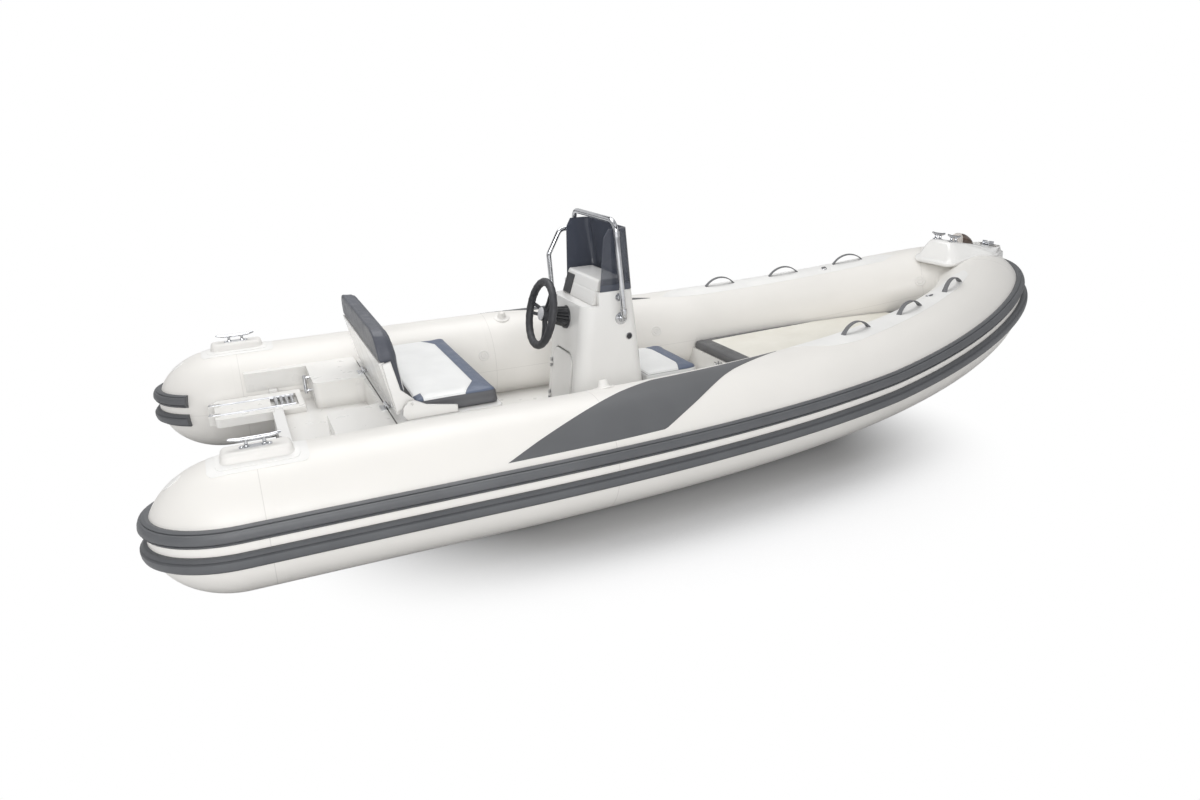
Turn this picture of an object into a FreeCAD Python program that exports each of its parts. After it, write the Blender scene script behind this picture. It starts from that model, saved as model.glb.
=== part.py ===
import FreeCAD, Part
import math
import os
import re

import Sketcher

# Inflatable boat with a rigid deep-V hull: a parametric document in millimetres.
# X runs forward, Y to port and Z up. The origin is amidships on the waterline.
# A "station" is a distance forward of the aft tips of the tubes.

Vector = FreeCAD.Vector
doc = FreeCAD.newDocument("InflatableBoat")
sheet = doc.addObject("Spreadsheet::Sheet", "Sizes")

SIZES = (
    # Inflated tubes
    ("length_overall", 4600),
    ("tube_spread", 780),
    ("tube_radius", 245),
    ("bow_tube_radius", 226),
    ("tube_level", 260),
    ("bow_rise", 227),
    ("bow_rise_power", 3.53),
    ("bend_station", 1323),
    ("bend_along_power", 1.013),
    ("bend_across_power", 0.9725),
    ("dome_length", 300),
    ("bow_seam_share", 0.68),
    ("bond_gap", 0.3),
    # Rubbing strakes
    ("strake_height", 60),
    ("strake_gap", 33),
    ("strake_depth", 30),
    ("strake_top_angle", 21.3),
    ("strake_bow_turn", 18),
    ("strake_inboard_turn", 146),
    # Rigid hull
    ("keel_depth", 190),
    ("keel_rise_station", 2300),
    ("keel_rise_power", 2.6),
    ("chine_inset", 0.55),
    ("chine_drop", 0.8),
    ("bow_chine_inset", 0.04),
    ("bow_chine_drop", 0.9),
    ("spray_rail_width", 28),
    ("spray_rail_share", 0.52),
    ("transom_station", 500),
    ("transom_thickness", 40),
    ("transom_top", 335),
    ("engine_pad_half", 170),
    ("engine_pad_height", 290),
    ("engine_pad_thickness", 8),
    ("sole_level", 100),
    # Aft deck moulding
    ("aft_floor_level", 300),
    ("wing_level", 422),
    ("wing_station", 688),
    ("wing_edge_station", 400),
    ("side_panel_half", 545),
    ("well_half_width", 215),
    ("well_wall", 14),
    ("well_round", 32),
    # Swim platform and its ladder
    ("platform_aft_station", 250),
    ("platform_front_station", 640),
    ("platform_inboard", 205),
    ("platform_outboard", 500),
    ("platform_top", 325),
    ("platform_thickness", 38),
    ("platform_round", 24),
    ("groove_margin", 25),
    ("ladder_rail_radius", 9),
    ("ladder_width", 150),
    ("ladder_length", 370),
    ("ladder_clearance", 6),
    ("ladder_sink", 4),
    ("ladder_lug", 8),
    ("ladder_tread_pitch", 24),
    ("ladder_tread_count", 4),
    # Grab handle on the port riser
    ("handle_radius", 8),
    ("handle_port", 400),
    ("handle_length", 88),
    ("handle_lift", 28),
    ("handle_foot_inset", 12),
    # Helm seat
    ("seat_rear_station", 930),
    ("seat_front_station", 1375),
    ("seat_half_width", 505),
    ("seat_wall", 25),
    ("seat_recess", 12),
    ("lid_top", 425),
    ("lid_thickness", 16),
    ("lid_gap", 5),
    ("lid_round", 30),
    ("cushion_thickness", 67),
    ("cushion_rear_station", 1012),
    ("cushion_half_width", 465),
    ("cushion_overhang", 5),
    ("soft_gap", 0.3),
    ("lid_hinge_spread", 290),
    ("lid_hinge_width", 56),
    ("lid_hinge_leaf", 26),
    ("leaf_thickness", 5),
    ("hinge_pin_radius", 4),
    ("hinge_barrel_radius", 8),
    ("knuckle_play", 0.5),
    ("pin_clearance", 0.08),
    # Folding backrest
    ("pivot_station", 998),
    ("pivot_level", 490),
    ("pivot_pin_radius", 5),
    ("arm_thickness", 12),
    ("bracket_thickness", 12),
    ("side_clearance", 5),
    ("back_top_level", 790),
    ("back_bottom_level", 446),
    ("back_corner_radius", 70),
    ("back_shell_level", 670),
    # Console
    ("console_foot_rear", 1800),
    ("console_foot_front", 2204),
    ("console_top_rear", 1884),
    ("console_top_front", 2136),
    ("console_half_width", 216),
    ("console_top_half_width", 210),
    ("console_corner_radius", 60),
    ("console_top", 772),
    ("console_wall", 22),
    ("ledge_level", 710),
    ("ledge_front_station", 1950),
    ("binnacle_top", 825),
    ("binnacle_half_width", 185),
    ("binnacle_rear_foot", 1926),
    ("binnacle_rear_top", 1966),
    ("binnacle_front", 2100),
    ("binnacle_round", 14),
    ("switch_panel_inboard", 92),
    ("switch_panel_outboard", 180),
    ("switch_panel_thickness", 4),
    ("door_half_width", 120),
    ("door_bottom", 145),
    ("door_top", 468),
    ("door_thickness", 16),
    ("door_gap", 5),
    ("door_corner_radius", 60),
    ("door_barrel_radius", 5),
    ("small_hinge_length", 45),
    ("small_hinge_leaf", 18),
    ("small_pin_radius", 2.4),
    # Windscreen and console rail
    ("screen_top", 1060),
    ("screen_thickness", 5),
    ("screen_half_width", 208),
    ("screen_top_half_width", 234),
    ("screen_corner_radius", 30),
    ("screen_front_foot", 2128),
    ("screen_front_top", 2096),
    ("screen_aft_foot", 1960),
    ("screen_aft_top", 1978),
    ("screen_top_slope", 40),
    ("rail_radius", 12.5),
    ("rail_bend_radius", 55),
    ("rail_half_width", 250),
    ("rail_top", 1096),
    ("rail_foot_level", 640),
    ("rail_foot_station", 2060),
    ("rail_top_station", 2028),
    ("rail_flange_radius", 30),
    ("branch_level", 1020),
    ("branch_aft_station", 1933),
    ("branch_elbow_station", 1868),
    ("branch_elbow_level", 890),
    ("branch_foot_station", 1886),
    # Helm
    ("wheel_station", 1740),
    ("wheel_level", 660),
    ("wheel_tilt", 14),
    ("wheel_radius", 157),
    ("wheel_grip_radius", 14),
    ("wheel_dish", 18),
    ("wheel_boss_radius", 34),
    ("wheel_boss_length", 43),
    ("spoke_radius", 6.5),
    ("spoke_offset", 11),
    ("helm_shaft_radius", 9),
    ("helm_shaft_length", 40),
    ("helm_hub_gap", 2),
    ("helm_hub_length", 84),
    ("helm_hub_radius", 52),
    ("wheel_cap_radius", 32),
    ("wheel_cap_height", 8),
    # Seat in front of the console
    ("front_seat_station", 2475),
    ("front_seat_top", 350),
    ("front_seat_cushion", 62),
    ("front_seat_half_width", 218),
    ("front_seat_round", 45),
    ("front_seat_recess", 10),
    # Bow deck
    ("locker_station", 2805),
    ("locker_front_station", 4240),
    ("locker_aft_level", 226),
    ("locker_front_level", 322),
    ("bow_cushion_thickness", 44),
    ("bow_cushion_front", 4130),
    ("locker_door_half_width", 200),
    ("locker_door_bottom", 118),
    ("locker_door_top", 198),
    ("locker_door_proud", 6),
    ("locker_depth", 420),
    ("locker_hinge_spread", 140),
    # Bow nose
    ("nose_aft_station", 4070),
    ("nose_shoulder_station", 4240),
    ("nose_front_station", 4592),
    ("nose_aft_half_width", 160),
    ("nose_half_width", 220),
    ("nose_tip_half_width", 80),
    ("nose_skirt", 560),
    ("nose_deck_station", 4165),
    ("nose_deck_front", 4572),
    ("nose_deck_half_width", 105),
    ("nose_deck_tip_half", 52),
    ("nose_deck_level", 768),
    ("nose_deck_tip_level", 690),
    ("nose_round", 16),
    ("nose_strake_gap", 4),
    # Deck hardware
    ("stern_cleat_station", 394),
    ("stern_cleat_offset", 8),
    ("stern_cleat_length", 178),
    ("cleat_bar_radius", 8),
    ("cleat_foot_radius", 12),
    ("cleat_rise", 30),
    ("pad_length", 240),
    ("pad_width", 104),
    ("pad_rise", 30),
    ("pad_slope", 20),
    ("pad_round", 26),
    ("bow_cleat_station", 4215),
    ("bow_cleat_half", 72),
    ("bow_cleat_length", 96),
    ("light_station", 4330),
    ("light_length", 136),
    ("light_radius", 29),
    ("roller_station", 4525),
    ("roller_radius", 13),
    ("roller_half_width", 22),
    ("cheek_thickness", 5),
    ("rowlock_station", 1755),
    ("rowlock_angle", 108),
    ("rowlock_flange_radius", 44),
    ("rowlock_radius", 23),
    ("rowlock_height", 34),
    ("strap_aft_station", 3105),
    ("strap_middle_station", 3505),
    ("strap_front_station", 3895),
    ("strap_angle", 93),
    ("strap_length", 180),
    ("strap_rise", 48),
    ("strap_width", 24),
    ("strap_thickness", 6),
    ("valve_aft_station", 1600),
    ("valve_middle_station", 2620),
    ("valve_bow_station", 4255),
    ("valve_angle", 162),
    ("valve_radius", 30),
    ("valve_rise", 4),
    ("eye_station", 4200),
    ("eye_reach", 24),
    ("eye_radius", 22),
    ("eye_bore_radius", 11),
    ("eye_thickness", 12),
)

NAMES = set()
for row, (alias, number) in enumerate(SIZES, start=1):
    NAMES.add(alias)
    sheet.set("A%d" % row, alias)
    sheet.set("B%d" % row, str(number))
    sheet.setAlias("B%d" % row, alias)
doc.recompute()

NODES = {}


def bound(text):
    """Give an expression its sheet prefix wherever a named size stands in it."""
    return re.sub(r"[a-z][a-z_]+", lambda word: "Sizes." + word[0] if word[0] in NAMES else word[0], text)


KNOWN = {}


def value(text):
    """Work out an expression of named sizes as a number."""
    if text not in KNOWN:
        KNOWN[text] = float(sheet.evalExpression(bound(text)))
    return KNOWN[text]


def station(text):
    """Turn a station into an X coordinate."""
    return "((%s) - length_overall / 2)" % text


def node(label, item):
    """Name a finished sub-part."""
    item.Label = label
    NODES[label] = item
    return item


def bind(item, **expressions):
    """Bind properties to named sizes; two underscores stand for a dot."""
    for name, text in expressions.items():
        item.setExpression(name.replace("__", "."), bound(text))
    return item


def box(x, y, z):
    """A box between bound limits, each a pair of expressions."""
    item = doc.addObject("Part::Box", "Box")
    bind(item, Length="(%s) - (%s)" % (x[1], x[0]), Width="(%s) - (%s)" % (y[1], y[0]))
    bind(item, Height="(%s) - (%s)" % (z[1], z[0]))
    bind(item, Placement__Base__x=x[0], Placement__Base__y=y[0], Placement__Base__z=z[0])
    return item


def cylinder(radius, height, x, y, z, axis=Vector(0, 0, 1)):
    """A cylinder of bound size from a bound point along a fixed axis."""
    item = doc.addObject("Part::Cylinder", "Cylinder")
    item.Placement.Rotation = FreeCAD.Rotation(Vector(0, 0, 1), axis)
    bind(item, Radius=radius, Height=height)
    bind(item, Placement__Base__x=x, Placement__Base__y=y, Placement__Base__z=z)
    return item


def cut(base, tool):
    item = doc.addObject("Part::Cut", "Cut")
    item.Base = base
    item.Tool = tool
    return item


def fuse(*shapes):
    item = doc.addObject("Part::MultiFuse", "Fuse")
    item.Shapes = list(shapes)
    return item


def common(first, second):
    item = doc.addObject("Part::MultiCommon", "Common")
    item.Shapes = [first, second]
    return item


def gather(*shapes):
    """Like pieces that don't touch, kept together."""
    item = doc.addObject("Part::Compound", "Set")
    item.Links = list(shapes)
    return item


def mirrored(source):
    """The same piece on the other side of the keel plane."""
    item = doc.addObject("Part::Mirroring", "Mirror")
    item.Source = source
    item.Normal = Vector(0, 1, 0)
    return item


def feature(shape):
    """A shape worked out from the sheet by formula."""
    item = doc.addObject("Part::Feature", "Formed")
    item.Shape = shape
    return item


def prism(plane, outline, low, high, fillet=None, corners=None):
    """A padded sketch with a bound outline, from low to high along the plane's axis."""
    body = doc.addObject("PartDesign::Body", "Body")
    sketch = body.newObject("Sketcher::SketchObject", "Outline")
    plane_object = [item for item in body.Origin.OriginFeatures if item.Role == plane + "_Plane"][0]
    sketch.AttachmentSupport = [(plane_object, "")]
    sketch.MapMode = "FlatFace"
    count = len(outline)
    for index in range(count):
        sketch.addGeometry(Part.LineSegment(Vector(index, 0, 0), Vector(index + 1, 1, 0)), False)
    for index in range(count):
        sketch.addConstraint(Sketcher.Constraint("Coincident", index, 2, (index + 1) % count, 1))
    for index, (across, along) in enumerate(outline):
        place = sketch.addConstraint(Sketcher.Constraint("DistanceX", -1, 1, index, 1, 1.0))
        sketch.setExpression("Constraints[%d]" % place, bound(across))
        place = sketch.addConstraint(Sketcher.Constraint("DistanceY", -1, 1, index, 1, 1.0))
        sketch.setExpression("Constraints[%d]" % place, bound(along))
    offset = "-(%s)" % high if plane == "XZ" else low
    bind(sketch, AttachmentOffset__Base__z=offset)
    pad = body.newObject("PartDesign::Pad", "Pad")
    pad.Profile = sketch
    bind(pad, Length="(%s) - (%s)" % (high, low))
    doc.recompute()
    if fillet:
        along_axis = {"XY": Vector(0, 0, 1), "XZ": Vector(0, 1, 0), "YZ": Vector(1, 0, 0)}[plane]
        edges = []
        for number, edge in enumerate(pad.Shape.Edges, start=1):
            straight = edge.Curve.TypeId == "Part::GeomLine"
            if straight and abs(edge.tangentAt(edge.FirstParameter).dot(along_axis)) > 0.99:
                if corners is None or corners(edge.CenterOfMass):
                    edges.append("Edge%d" % number)
        rounding = body.newObject("PartDesign::Fillet", "Rounding")
        rounding.Base = (pad, edges)
        bind(rounding, Radius=fillet)
    doc.recompute()
    return body


# Path of the tubes. A turn of 0 is the start of the bend and 1 is the stem.

def tube_frame(turn):
    """Centre, direction, outboard and upward vectors and radius of the starboard tube."""
    def centre(share):
        angle = share * math.pi / 2
        reach = value("length_overall - bow_tube_radius - bend_station")
        along = reach * max(math.sin(angle), 0) ** value("bend_along_power")
        across = value("tube_spread") * max(math.cos(angle), 0) ** value("bend_across_power")
        rise = value("bow_rise") * (along / reach) ** value("bow_rise_power")
        return Vector(value(station("bend_station")) + along, -across, value("tube_level") + rise)

    step = 0.002
    if turn <= 0:
        direction = Vector(1, 0, 0)
    elif turn >= 1:
        direction = Vector(0, 1, 0)
    else:
        direction = (centre(min(turn + step, 1)) - centre(turn - step)).normalize()
    outboard = direction.cross(Vector(0, 0, 1)).normalize()
    upward = outboard.cross(direction).normalize()
    middle = centre(max(turn, 0))
    if turn < 0:
        middle = Vector(value(station("dome_length")), -value("tube_spread"), value("tube_level"))
    reach = value("length_overall - bow_tube_radius - bend_station")
    share = (middle.x - value(station("bend_station"))) / reach
    radius = value("tube_radius") + value("bow_tube_radius - tube_radius") * max(share, 0)
    return middle, direction, outboard, upward, radius


def tube_ring(turn, growth):
    middle, direction, outboard, upward, radius = tube_frame(turn)
    ring = Part.Wire(Part.makeCircle(radius + growth))
    ring.Placement = FreeCAD.Placement(middle, FreeCAD.Rotation(upward, outboard * -1, direction, "ZXY"))
    return ring


def mirror_across_keel(shape):
    return shape.mirror(Vector(0, 0, 0), Vector(0, 1, 0))


def dome(growth):
    """Half an ellipse turned about the tube's axis, pointing aft."""
    radius = value("tube_radius") + growth
    length = value("dome_length") + growth
    base = Vector(value(station("dome_length")), -value("tube_spread"), value("tube_level"))
    steps = 8
    points = []
    for step in range(steps + 1):
        angle = step * math.pi / 2 / steps
        points.append(base + Vector(-length * math.cos(angle), 0, radius * math.sin(angle)))
    curve = Part.BSplineCurve()
    curve.interpolate(points, InitialTangent=Vector(0, 0, 1), FinalTangent=Vector(1, 0, 0))
    edges = [curve.toShape(), Part.makeLine(points[-1], base), Part.makeLine(base, points[0])]
    return Part.Face(Part.Wire(edges)).revolve(base, Vector(1, 0, 0), 360)


def side_tube(growth):
    """The starboard tube up to the bow seam, its skin moved out by a growth."""
    seam = value("bow_seam_share")
    steps = 9
    rings = [tube_ring(seam * step / steps, growth) for step in range(steps + 1)]
    bend = Part.makeLoft(rings, True, False)
    base = Vector(value(station("dome_length")), -value("tube_spread"), value("tube_level"))
    straight = Part.makeCylinder(value("tube_radius") + growth, value("bend_station - dome_length"), base,
                                 Vector(1, 0, 0))
    return dome(growth).fuse([straight, bend]).removeSplitter()


def bow_tube(growth):
    """The tube between both bow seams."""
    seam = value("bow_seam_share")
    steps = 4
    turns = [seam + (1 - seam) * step / steps for step in range(steps + 1)]
    starboard = [tube_ring(turn, growth) for turn in turns]
    port = []
    for turn in reversed(turns[:-1]):
        middle, direction, outboard, upward, radius = tube_frame(turn)
        place = Vector(middle.x, -middle.y, middle.z)
        along = Vector(-direction.x, direction.y, -direction.z)
        lift = Vector(upward.x, -upward.y, upward.z)
        ring = Part.Wire(Part.makeCircle(radius + growth))
        ring.Placement = FreeCAD.Placement(place, FreeCAD.Rotation(lift, along.cross(lift), along, "ZXY"))
        port.append(ring)
    return Part.makeLoft(starboard + port, True, False)


def strake_profile(point, outward, upward):
    """A D section with two shoulder lips, its flat back sunk below the tube's skin."""
    half = value("strake_height") / 2
    depth = value("strake_depth")
    outline = (
        (-half, -14), (-half, 0.42 * depth), (-0.72 * half, 0.72 * depth), (-0.66 * half, 0.6 * depth),
        (-0.5 * half, 0.94 * depth), (0, depth), (0.5 * half, 0.94 * depth), (0.66 * half, 0.6 * depth),
        (0.72 * half, 0.72 * depth), (half, 0.42 * depth), (half, -14),
    )
    points = [point + upward * across + outward * out for across, out in outline]
    return Part.makePolygon(points + points[:1])


def strake_middle(top_angle, turn):
    """Angle of a strake's middle up from outboard; it climbs the tube towards the bow."""
    climb = math.radians(value("strake_bow_turn")) * max(0, (turn - 0.4) / 0.6)
    return math.radians(top_angle) - value("strake_height") / 2 / value("tube_radius") + climb


def strake(top_angle):
    """A strake round both stern domes, along both tubes and round the bow."""
    middle_angle = strake_middle(top_angle, 0)
    profiles = []
    radius = value("tube_radius")
    length = value("dome_length")
    base = Vector(value(station("dome_length")), -value("tube_spread"), value("tube_level"))
    height = radius * math.sin(middle_angle)
    shrink = math.cos(middle_angle)
    turns = 12
    for step in range(turns):
        sweep = math.radians(value("strake_inboard_turn")) * (1 - step / turns)
        offset = Vector(-length * shrink * math.sin(sweep), -radius * shrink * math.cos(sweep), height)
        outward = Vector(offset.x / length ** 2, offset.y / radius ** 2, offset.z / radius ** 2).normalize()
        along = Vector(math.cos(sweep) * length, -math.sin(sweep) * radius, 0).normalize()
        upward = along.cross(outward).normalize() * -1
        profiles.append(strake_profile(base + offset, outward, upward))
    for turn in [-1] + [0.95 * (step / 14) for step in range(15)] + [1]:
        middle, direction, outboard, lift, tube = tube_frame(turn)
        angle = strake_middle(top_angle, turn)
        outward = outboard * math.cos(angle) + lift * math.sin(angle)
        upward = lift * math.cos(angle) - outboard * math.sin(angle)
        profiles.append(strake_profile(middle + outward * tube, outward, upward))
    half = Part.makeLoft(profiles, True, False)
    return half.fuse(mirror_across_keel(half)).removeSplitter()


def lower_edge(turn, inset, drop):
    """A point under the starboard tube, set inboard and down by shares of its radius."""
    middle, direction, outboard, upward, radius = tube_frame(turn)
    bow_share = max(0, (turn - 0.4) / 0.6)
    inward = inset * (1 - bow_share) + value("bow_chine_inset") * bow_share
    down = drop + value("bow_chine_drop - chine_drop") * bow_share
    return middle - outboard * radius * inward - upward * radius * down


def keel_level(x):
    """Height of the keel line, level aft and curving up to the stem."""
    stem = lower_edge(1, value("chine_inset"), value("chine_drop"))
    rise_start = value(station("keel_rise_station"))
    rise = max(0, (x - rise_start) / (stem.x - rise_start))
    return -value("keel_depth") + (stem.z + value("keel_depth")) * rise ** value("keel_rise_power")


hull_turns = (-1, 0, 0.14, 0.28, 0.4, 0.52, 0.62, 0.7, 0.78, 0.85, 0.91, 0.96, 0.99)


def hull_shape():
    """Ruled sections from keel to chine, closed on top between the chines."""
    sections = []
    for turn in hull_turns:
        chine = lower_edge(turn, value("chine_inset"), value("chine_drop"))
        if turn < 0:
            chine.x = value(station("transom_station + transom_thickness"))
        points = [Vector(chine.x, 0, keel_level(chine.x)), chine, Vector(chine.x, -chine.y, chine.z)]
        sections.append(Part.makePolygon(points + points[:1]))
    return Part.makeLoft(sections, True, True)


def spray_rail():
    """A strip with a flat underside along the starboard bottom panel."""
    sections = []
    width = value("spray_rail_width")
    bite = Vector(0, 0, 4)
    for turn in hull_turns[:-3]:
        chine = lower_edge(turn, value("chine_inset"), value("chine_drop"))
        if turn < 0:
            chine.x = value(station("transom_station + transom_thickness"))
        keel = Vector(chine.x, 0, keel_level(chine.x))
        inner = keel + (chine - keel) * value("spray_rail_share")
        edge = inner + Vector(0, -width, 0)
        outer_side = keel + (chine - keel) * ((inner.y - width) / chine.y)
        sections.append(Part.makePolygon([inner + bite, inner, edge, outer_side + bite, inner + bite]))
    return Part.makeLoft(sections, True, True)


def under_deck_shape():
    """All that lies below the hull's flat top, used to trim what stands on it."""
    sections = []
    for turn in hull_turns:
        chine = lower_edge(turn, value("chine_inset"), value("chine_drop"))
        if turn < 0:
            chine.x = value(station("transom_station"))
        side = Vector(0, -100, 0)
        low = -2 * value("keel_depth")
        upper = chine + side
        points = [upper, Vector(upper.x, -upper.y, upper.z), Vector(upper.x, -upper.y, low),
                  Vector(upper.x, upper.y, low)]
        sections.append(Part.makePolygon(points + points[:1]))
    return Part.makeLoft(sections, True, True)


def interior_shape():
    """The space between the tubes, out to just beyond the chines."""
    steps = [-1] + [step / 16 for step in range(17)]
    starboard = [lower_edge(turn, value("chine_inset") - 0.05, 0) for turn in steps]
    for point in starboard:
        point.z = -value("keel_depth")
    port = [Vector(point.x, -point.y, point.z) for point in reversed(starboard[:-1])]
    outline = Part.makePolygon(starboard + port + starboard[:1])
    return Part.Face(outline).extrude(Vector(0, 0, value("keel_depth") + 900))


# Tubes, strakes and hull

tube_starboard = node("tube_starboard", feature(side_tube(0)))
tube_port = node("tube_port", mirrored(tube_starboard))
tube_bow = node("tube_bow", feature(bow_tube(0)))
tubes = gather(tube_starboard, tube_port, tube_bow)

# The same tubes grown by the glue line, which trims whatever is bonded onto them
bond_starboard = feature(side_tube(value("bond_gap")))
bond_tubes = gather(bond_starboard, mirrored(bond_starboard), feature(bow_tube(value("bond_gap"))))
doc.recompute()

upper_angle = value("strake_top_angle")
lower_angle = upper_angle - math.degrees(value("strake_height + strake_gap") / value("tube_radius"))
node("strake_upper", cut(feature(strake(upper_angle)), bond_tubes))
node("strake_lower", cut(feature(strake(lower_angle)), bond_tubes))

hull_solid = feature(hull_shape())
spray_rail_starboard = feature(spray_rail())
hull_with_rails = fuse(hull_solid, spray_rail_starboard, mirrored(spray_rail_starboard))
hull = node("hull", cut(hull_with_rails, tubes))

transom_x = (station("transom_station"), station("transom_station + transom_thickness"))
chine_y = "(tube_spread - tube_radius * chine_inset)"
chine_z = "(tube_level - tube_radius * chine_drop)"
transom_board = prism("YZ", (
    ("0", "-keel_depth"), (chine_y, chine_z), (chine_y, "transom_top"),
    ("-" + chine_y, "transom_top"), ("-" + chine_y, chine_z)), *transom_x)

platform_x = (station("platform_aft_station"), station("platform_front_station"))
platform_y = ("platform_inboard", "platform_outboard")
platform_z = ("platform_top - platform_thickness", "platform_top")


def platform_aft_corner(point):
    return point.x < value(station("platform_aft_station + platform_round"))


platform_block = prism("XY", (
    (platform_x[0], platform_y[0]), (platform_x[1], platform_y[0]),
    (platform_x[1], platform_y[1]), (platform_x[0], platform_y[1])), *platform_z, "platform_round",
    platform_aft_corner)
platform_room = box(platform_x, platform_y, ("platform_top - platform_thickness", "platform_top + 100"))
engine_pad = box((station("transom_station - engine_pad_thickness"), station("transom_station")),
                 ("-engine_pad_half", "engine_pad_half"), ("transom_top - engine_pad_height", "transom_top"))
node("transom", fuse(cut(cut(transom_board, platform_room), tubes), engine_pad))

interior = feature(interior_shape())
under_deck = feature(under_deck_shape())
sole_block = box((station("transom_station + transom_thickness"), station("locker_station + 200")),
                 ("-tube_spread", "tube_spread"), (chine_z, "sole_level"))
node("cockpit_sole", cut(cut(common(sole_block, interior), under_deck), tubes))

# Aft deck moulding: two wings round a well, the well's floor and panels up the tubes


def well_corner(point):
    return abs(point.y) < value("well_half_width + 10")


wing_x = (station("wing_station"), station("seat_rear_station - lid_gap"))
well_end = station("seat_rear_station - lid_gap - well_wall")
wings = prism("XY", (
    (wing_x[0], "-tube_spread"), (wing_x[1], "-tube_spread"), (wing_x[1], "tube_spread"),
    (wing_x[0], "tube_spread"),
    (wing_x[0], "well_half_width"), (well_end, "well_half_width"), (well_end, "-well_half_width"),
    (wing_x[0], "-well_half_width")), "aft_floor_level - 10", "wing_level", "well_round", well_corner)
floor = box((station("transom_station + transom_thickness"), wing_x[1]),
            ("-tube_spread", "tube_spread"), ("sole_level", "aft_floor_level"))
panel = box((station("wing_edge_station"), wing_x[0]),
            ("side_panel_half", "tube_spread"), ("aft_floor_level", "wing_level"))
moulding = fuse(wings, floor, panel, mirrored(panel))
node("aft_deck", cut(cut(cut(moulding, platform_room), transom_board), tubes))

# Swim platform with two rail grooves and a pocket for the treads
ladder_y = "((platform_inboard + platform_outboard) / 2)"
groove_half = "(ladder_rail_radius + ladder_clearance)"
groove_floor = "(platform_top - 2 * ladder_rail_radius - ladder_clearance + ladder_sink)"
groove_end = station("platform_front_station - groove_margin")
grooves = []
for side in ("-", "+"):
    rail_y = "(%s %s ladder_width / 2)" % (ladder_y, side)
    grooves.append(box((station("platform_aft_station - 10"), groove_end),
                       ("%s - %s" % (rail_y, groove_half), "%s + %s" % (rail_y, groove_half)),
                       (groove_floor, "platform_top + 10")))
tread_zone = "((ladder_tread_count + 1) * ladder_tread_pitch)"
pocket = box((station("platform_front_station - groove_margin - %s" % tread_zone), groove_end),
             ("%s - ladder_width / 2" % ladder_y, "%s + ladder_width / 2" % ladder_y),
             (groove_floor, "platform_top + 10"))
ladder_eye_radius = "(ladder_rail_radius + 2)"
ladder_axis_station = "(platform_aft_station - %s - ladder_clearance)" % ladder_eye_radius
ladder_level = "(platform_top - ladder_rail_radius + ladder_sink)"
lugs = []
for side in ("-", "+"):
    for edge in ("-", "+"):
        lug_low = "(%s %s ladder_width / 2 %s %s)" % (ladder_y, side, edge, groove_half)
        if edge == "-":
            lug_low = "(%s - ladder_lug)" % lug_low
        lugs.append(box((station("%s - hinge_pin_radius - 6" % ladder_axis_station),
                         station("platform_aft_station + platform_round")),
                        (lug_low, "%s + ladder_lug" % lug_low),
                        ("platform_top - platform_thickness", "platform_top + ladder_sink")))
ladder_pins = []
for side in ("-", "+"):
    rail_y = "(%s %s ladder_width / 2)" % (ladder_y, side)
    ladder_pins.append(cylinder("hinge_pin_radius", "2 * %s + ladder_lug" % groove_half,
                                station(ladder_axis_station),
                                "%s - %s - ladder_lug / 2" % (rail_y, groove_half),
                                ladder_level, Vector(0, 1, 0)))
slab = fuse(platform_block, *lugs)
node("swim_platform", fuse(cut(slab, fuse(pocket, *grooves)), *ladder_pins))

# Boarding ladder, folded forward into the platform
rails = []
for side in ("-", "+"):
    rails.append(cylinder("ladder_rail_radius", "ladder_length", station(ladder_axis_station),
                          "%s %s ladder_width / 2" % (ladder_y, side), ladder_level, Vector(1, 0, 0)))
    eye_low = "%s %s ladder_width / 2 - ladder_rail_radius - ladder_clearance + 1" % (ladder_y, side)
    rails.append(cylinder(ladder_eye_radius, "2 * (ladder_rail_radius + ladder_clearance - 1)",
                          station(ladder_axis_station), eye_low, ladder_level, Vector(0, 1, 0)))
for index in range(int(value("ladder_tread_count"))):
    tread_station = "%s + ladder_length - 10 - %d * ladder_tread_pitch" % (ladder_axis_station, index)
    rails.append(cylinder("ladder_rail_radius - 1", "ladder_width", station(tread_station),
                          "%s - ladder_width / 2" % ladder_y, ladder_level, Vector(0, 1, 0)))
ladder_bore = cylinder("hinge_pin_radius + pin_clearance", "2 * ladder_width", station(ladder_axis_station),
                       "%s - ladder_width" % ladder_y, ladder_level, Vector(0, 1, 0))
node("boarding_ladder", cut(fuse(*rails), ladder_bore))

# Upright grab handle on the port riser
handle_x = station("wing_station - 3 * handle_radius")
post_low = "aft_floor_level + handle_lift"
post = cylinder("handle_radius", "handle_length", handle_x, "handle_port", post_low)
post_feet = [cylinder("handle_radius - 1", "3 * handle_radius", handle_x, "handle_port", level,
                      Vector(1, 0, 0))
             for level in (post_low + " + handle_foot_inset",
                           post_low + " + handle_length - handle_foot_inset")]
node("boarding_handle", fuse(post, *post_feet))

# Helm seat box and lid
seat_y = ("-seat_half_width", "seat_half_width")
seat_x = (station("seat_rear_station"), station("seat_front_station - seat_recess"))
lid_bottom = "(lid_top - lid_thickness)"
seat_block = box(seat_x, seat_y, ("sole_level", lid_bottom + " - lid_gap"))
seat_room = box((station("seat_rear_station + seat_wall"),
                 station("seat_front_station - seat_recess - seat_wall")),
                ("-seat_half_width + 2 * seat_wall", "seat_half_width - 2 * seat_wall"),
                ("sole_level + seat_wall", "lid_top + 10"))
node("seat_base", cut(cut(seat_block, seat_room), tubes))


def lid_front_corner(point):
    return point.x > value(station("pivot_station"))


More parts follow.
